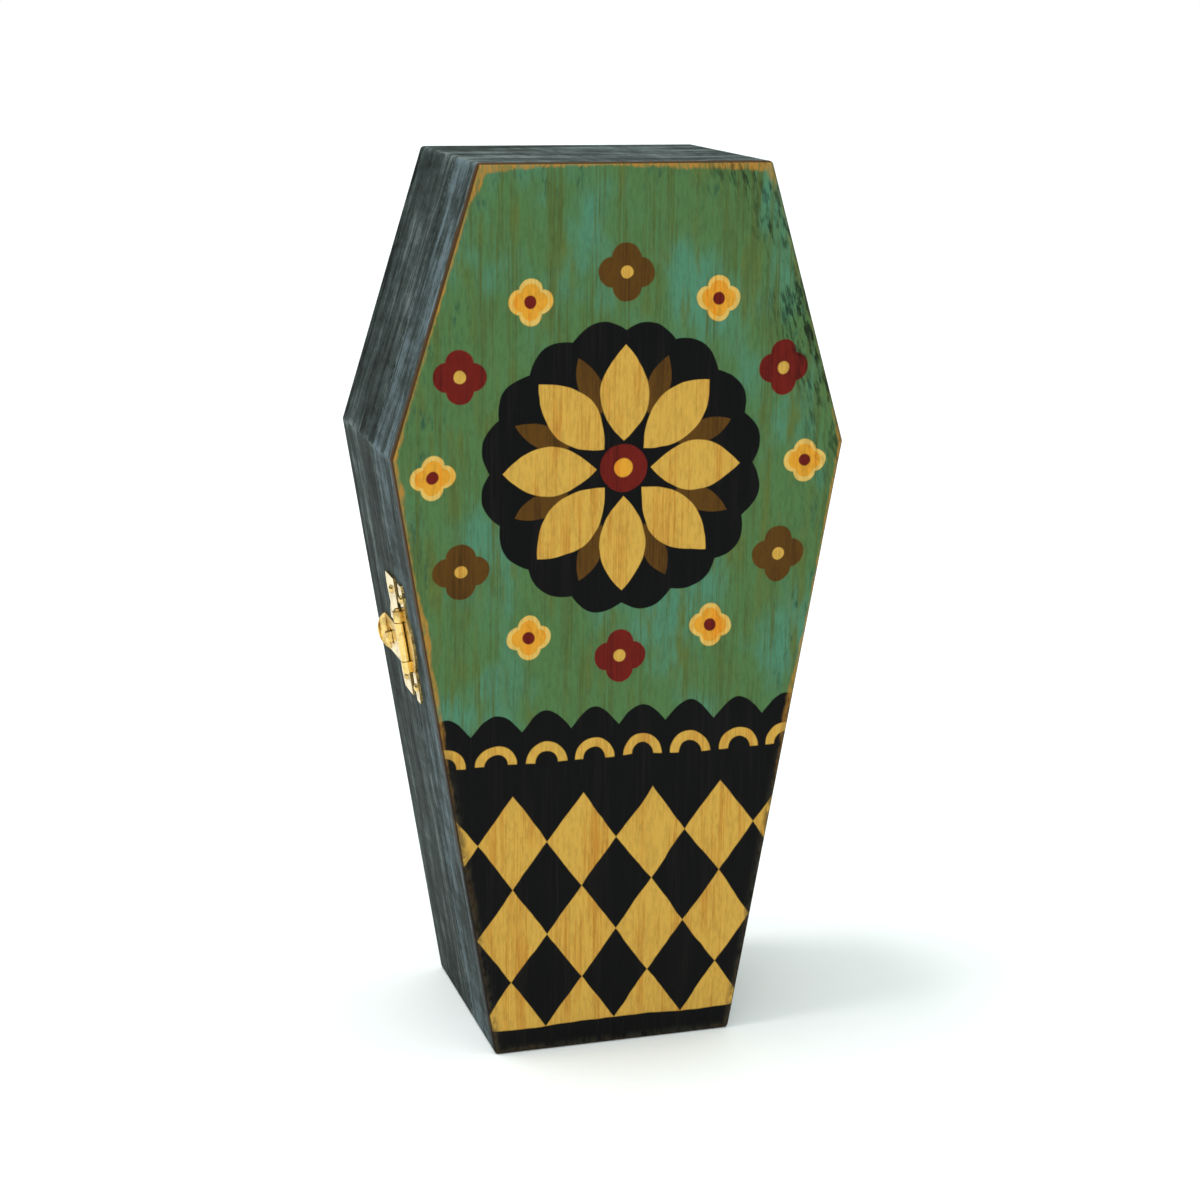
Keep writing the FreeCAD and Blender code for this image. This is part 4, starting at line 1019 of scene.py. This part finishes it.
def cap_material():
    material, tree, shader, place = new_material("painted_cap")
    y = minus(tree, axis_of(tree, place, "Y"), JACK_AXIS_Y)
    z = minus(tree, axis_of(tree, place, "Z"), CAP_RIM)
    angle = calculate(tree, "ARCTAN2", axis_of(tree, place, "X"), y)
    wave = calculate(tree, "SINE", times(tree, angle, CAP_GORES / 2))
    gores = within(tree, wave, CAP_GORE_EDGE)
    band = within(tree, minus(tree, CAP_BAND, z))
    colour = mix_colours(tree, band, mix_colours(tree, gores, CAP_GREEN, ROBE), OCHRE)
    shade = mix_colours(tree, band, mix_colours(tree, gores, CAP_GREEN_DARK, ROBE_DARK), OCHRE_STREAK)
    satin_surface(tree, shader, place, colour, shade)
    return material


def one_colour_material(name, colour, shade):
    material, tree, shader, place = new_material(name)
    satin_surface(tree, shader, place, colour, shade)
    return material


dress(robe_material(), "jack_body")
for arm in ("jack_left_arm", "jack_right_arm"):
    dress(arm_material(f"painted_{arm}", arm), arm)
dress(face_material(), "jack_head")
dress(cap_material(), "jack_cap")
dress(one_colour_material("painted_collar", OCHRE, OCHRE_STREAK), "jack_collar", "cap_bobble")
dress(one_colour_material("painted_nose", ROBE, ROBE_DARK), "jack_nose")


# Floor and light: a wide white sheet under soft studio light.
# The main light comes from the upper left, and a weaker lamp stands in front.

FLOOR_WHITE = (0.94, 0.945, 0.945, 1)
FLOOR_HALF = 4.0
FLOOR_FIBRE = 1 / 300
FLOOR_DETAIL = 2
FLOOR_ROUGHNESS = (0.2, 0.7)
WHITE = (1, 1, 1, 1)
SKY_TINT = (0.92, 1.0, 0.975, 1)
SKY_HIGH = 1.17
SKY_LOW = 0.06
SKY_RISE = (0.2, 0.6)
KEY_FROM = Vector((-0.30, 0.04, 0.92))
KEY_STRENGTH = 1.15
KEY_SPREAD = math.radians(20)
FILL_FROM = Vector((-0.5, -1.25, 0.6))
FILL_SIZE = 0.7
FILL_POWER = 3


def make_floor():
    bm = bmesh.new()
    bmesh.ops.create_grid(bm, x_segments=1, y_segments=1, size=FLOOR_HALF)
    floor = new_piece("floor", bm)
    material, tree, shader, place = new_material("floor_paper")
    look = {"Vector": place, "Scale": 1 / FLOOR_FIBRE, "Detail": FLOOR_DETAIL}
    fibres = add_node(tree, "ShaderNodeTexNoise", look)
    roughness = scaled(tree, fibres.outputs["Fac"], *FLOOR_ROUGHNESS)
    tree.links.new(roughness, shader.inputs["Roughness"])
    shader.inputs["Base Color"].default_value = FLOOR_WHITE
    floor.data.materials.append(material)


def new_lamp(name, kind, spot, strength):
    """A lamp that shines from a spot at the middle of the object."""
    lamp = bpy.data.lights.new(name, kind)
    lamp.energy = strength
    stand = bpy.data.objects.new(name, lamp)
    stand.location = spot
    stand.rotation_mode = "QUATERNION"
    stand.rotation_quaternion = ((cad_low + cad_high) / 2 - spot).to_track_quat("-Z", "Y")
    bpy.context.scene.collection.objects.link(stand)
    return lamp


def make_sky():
    """A white backdrop for the camera, and a soft light from above for everything else."""
    world = bpy.data.worlds.new("studio")
    world.use_nodes = True
    tree = world.node_tree
    upwards = axis_of(tree, add_node(tree, "ShaderNodeTexCoord").outputs["Generated"], "Z")
    glow = mix_values(tree, ease(tree, upwards, *SKY_RISE), SKY_LOW, SKY_HIGH)
    seen = add_node(tree, "ShaderNodeLightPath").outputs["Is Camera Ray"]
    background = tree.nodes["Background"]
    tree.links.new(mix_colours(tree, seen, SKY_TINT, WHITE), background.inputs["Color"])
    tree.links.new(mix_values(tree, seen, glow, 1), background.inputs["Strength"])
    bpy.context.scene.world = world
    bpy.context.scene.view_settings.view_transform = "Standard"


make_floor()
new_lamp("key_lamp", "SUN", KEY_FROM, KEY_STRENGTH).angle = KEY_SPREAD
new_lamp("fill_lamp", "AREA", FILL_FROM, FILL_POWER).size = FILL_SIZE
make_sky()


# Camera: at the photograph's height and angle, a little to the left of the lid.
# It looks at the middle of the case through a long lens, and leans a little, as the photograph does.

CAMERA_AZIMUTH = math.radians(-17.48)
CAMERA_ELEVATION = math.radians(14.47)
CAMERA_ROLL = math.radians(0.87)
CAMERA_DISTANCE = 0.5655
CAMERA_TARGET = Vector((0.00345, 0, 0.09972))
CAMERA_LENS = 72.39


def make_camera():
    back = Vector(
        (
            math.sin(CAMERA_AZIMUTH) * math.cos(CAMERA_ELEVATION),
            -math.cos(CAMERA_AZIMUTH) * math.cos(CAMERA_ELEVATION),
            math.sin(CAMERA_ELEVATION),
        )
    )
    lens = bpy.data.cameras.new("camera")
    lens.lens = CAMERA_LENS
    camera = bpy.data.objects.new("camera", lens)
    camera.location = CAMERA_TARGET + back * CAMERA_DISTANCE
    aim = (-back).to_track_quat("-Z", "Y").to_matrix()
    camera.rotation_euler = (aim @ Matrix.Rotation(CAMERA_ROLL, 3, "Z")).to_euler()
    bpy.context.scene.collection.objects.link(camera)
    bpy.context.scene.camera = camera


make_camera()
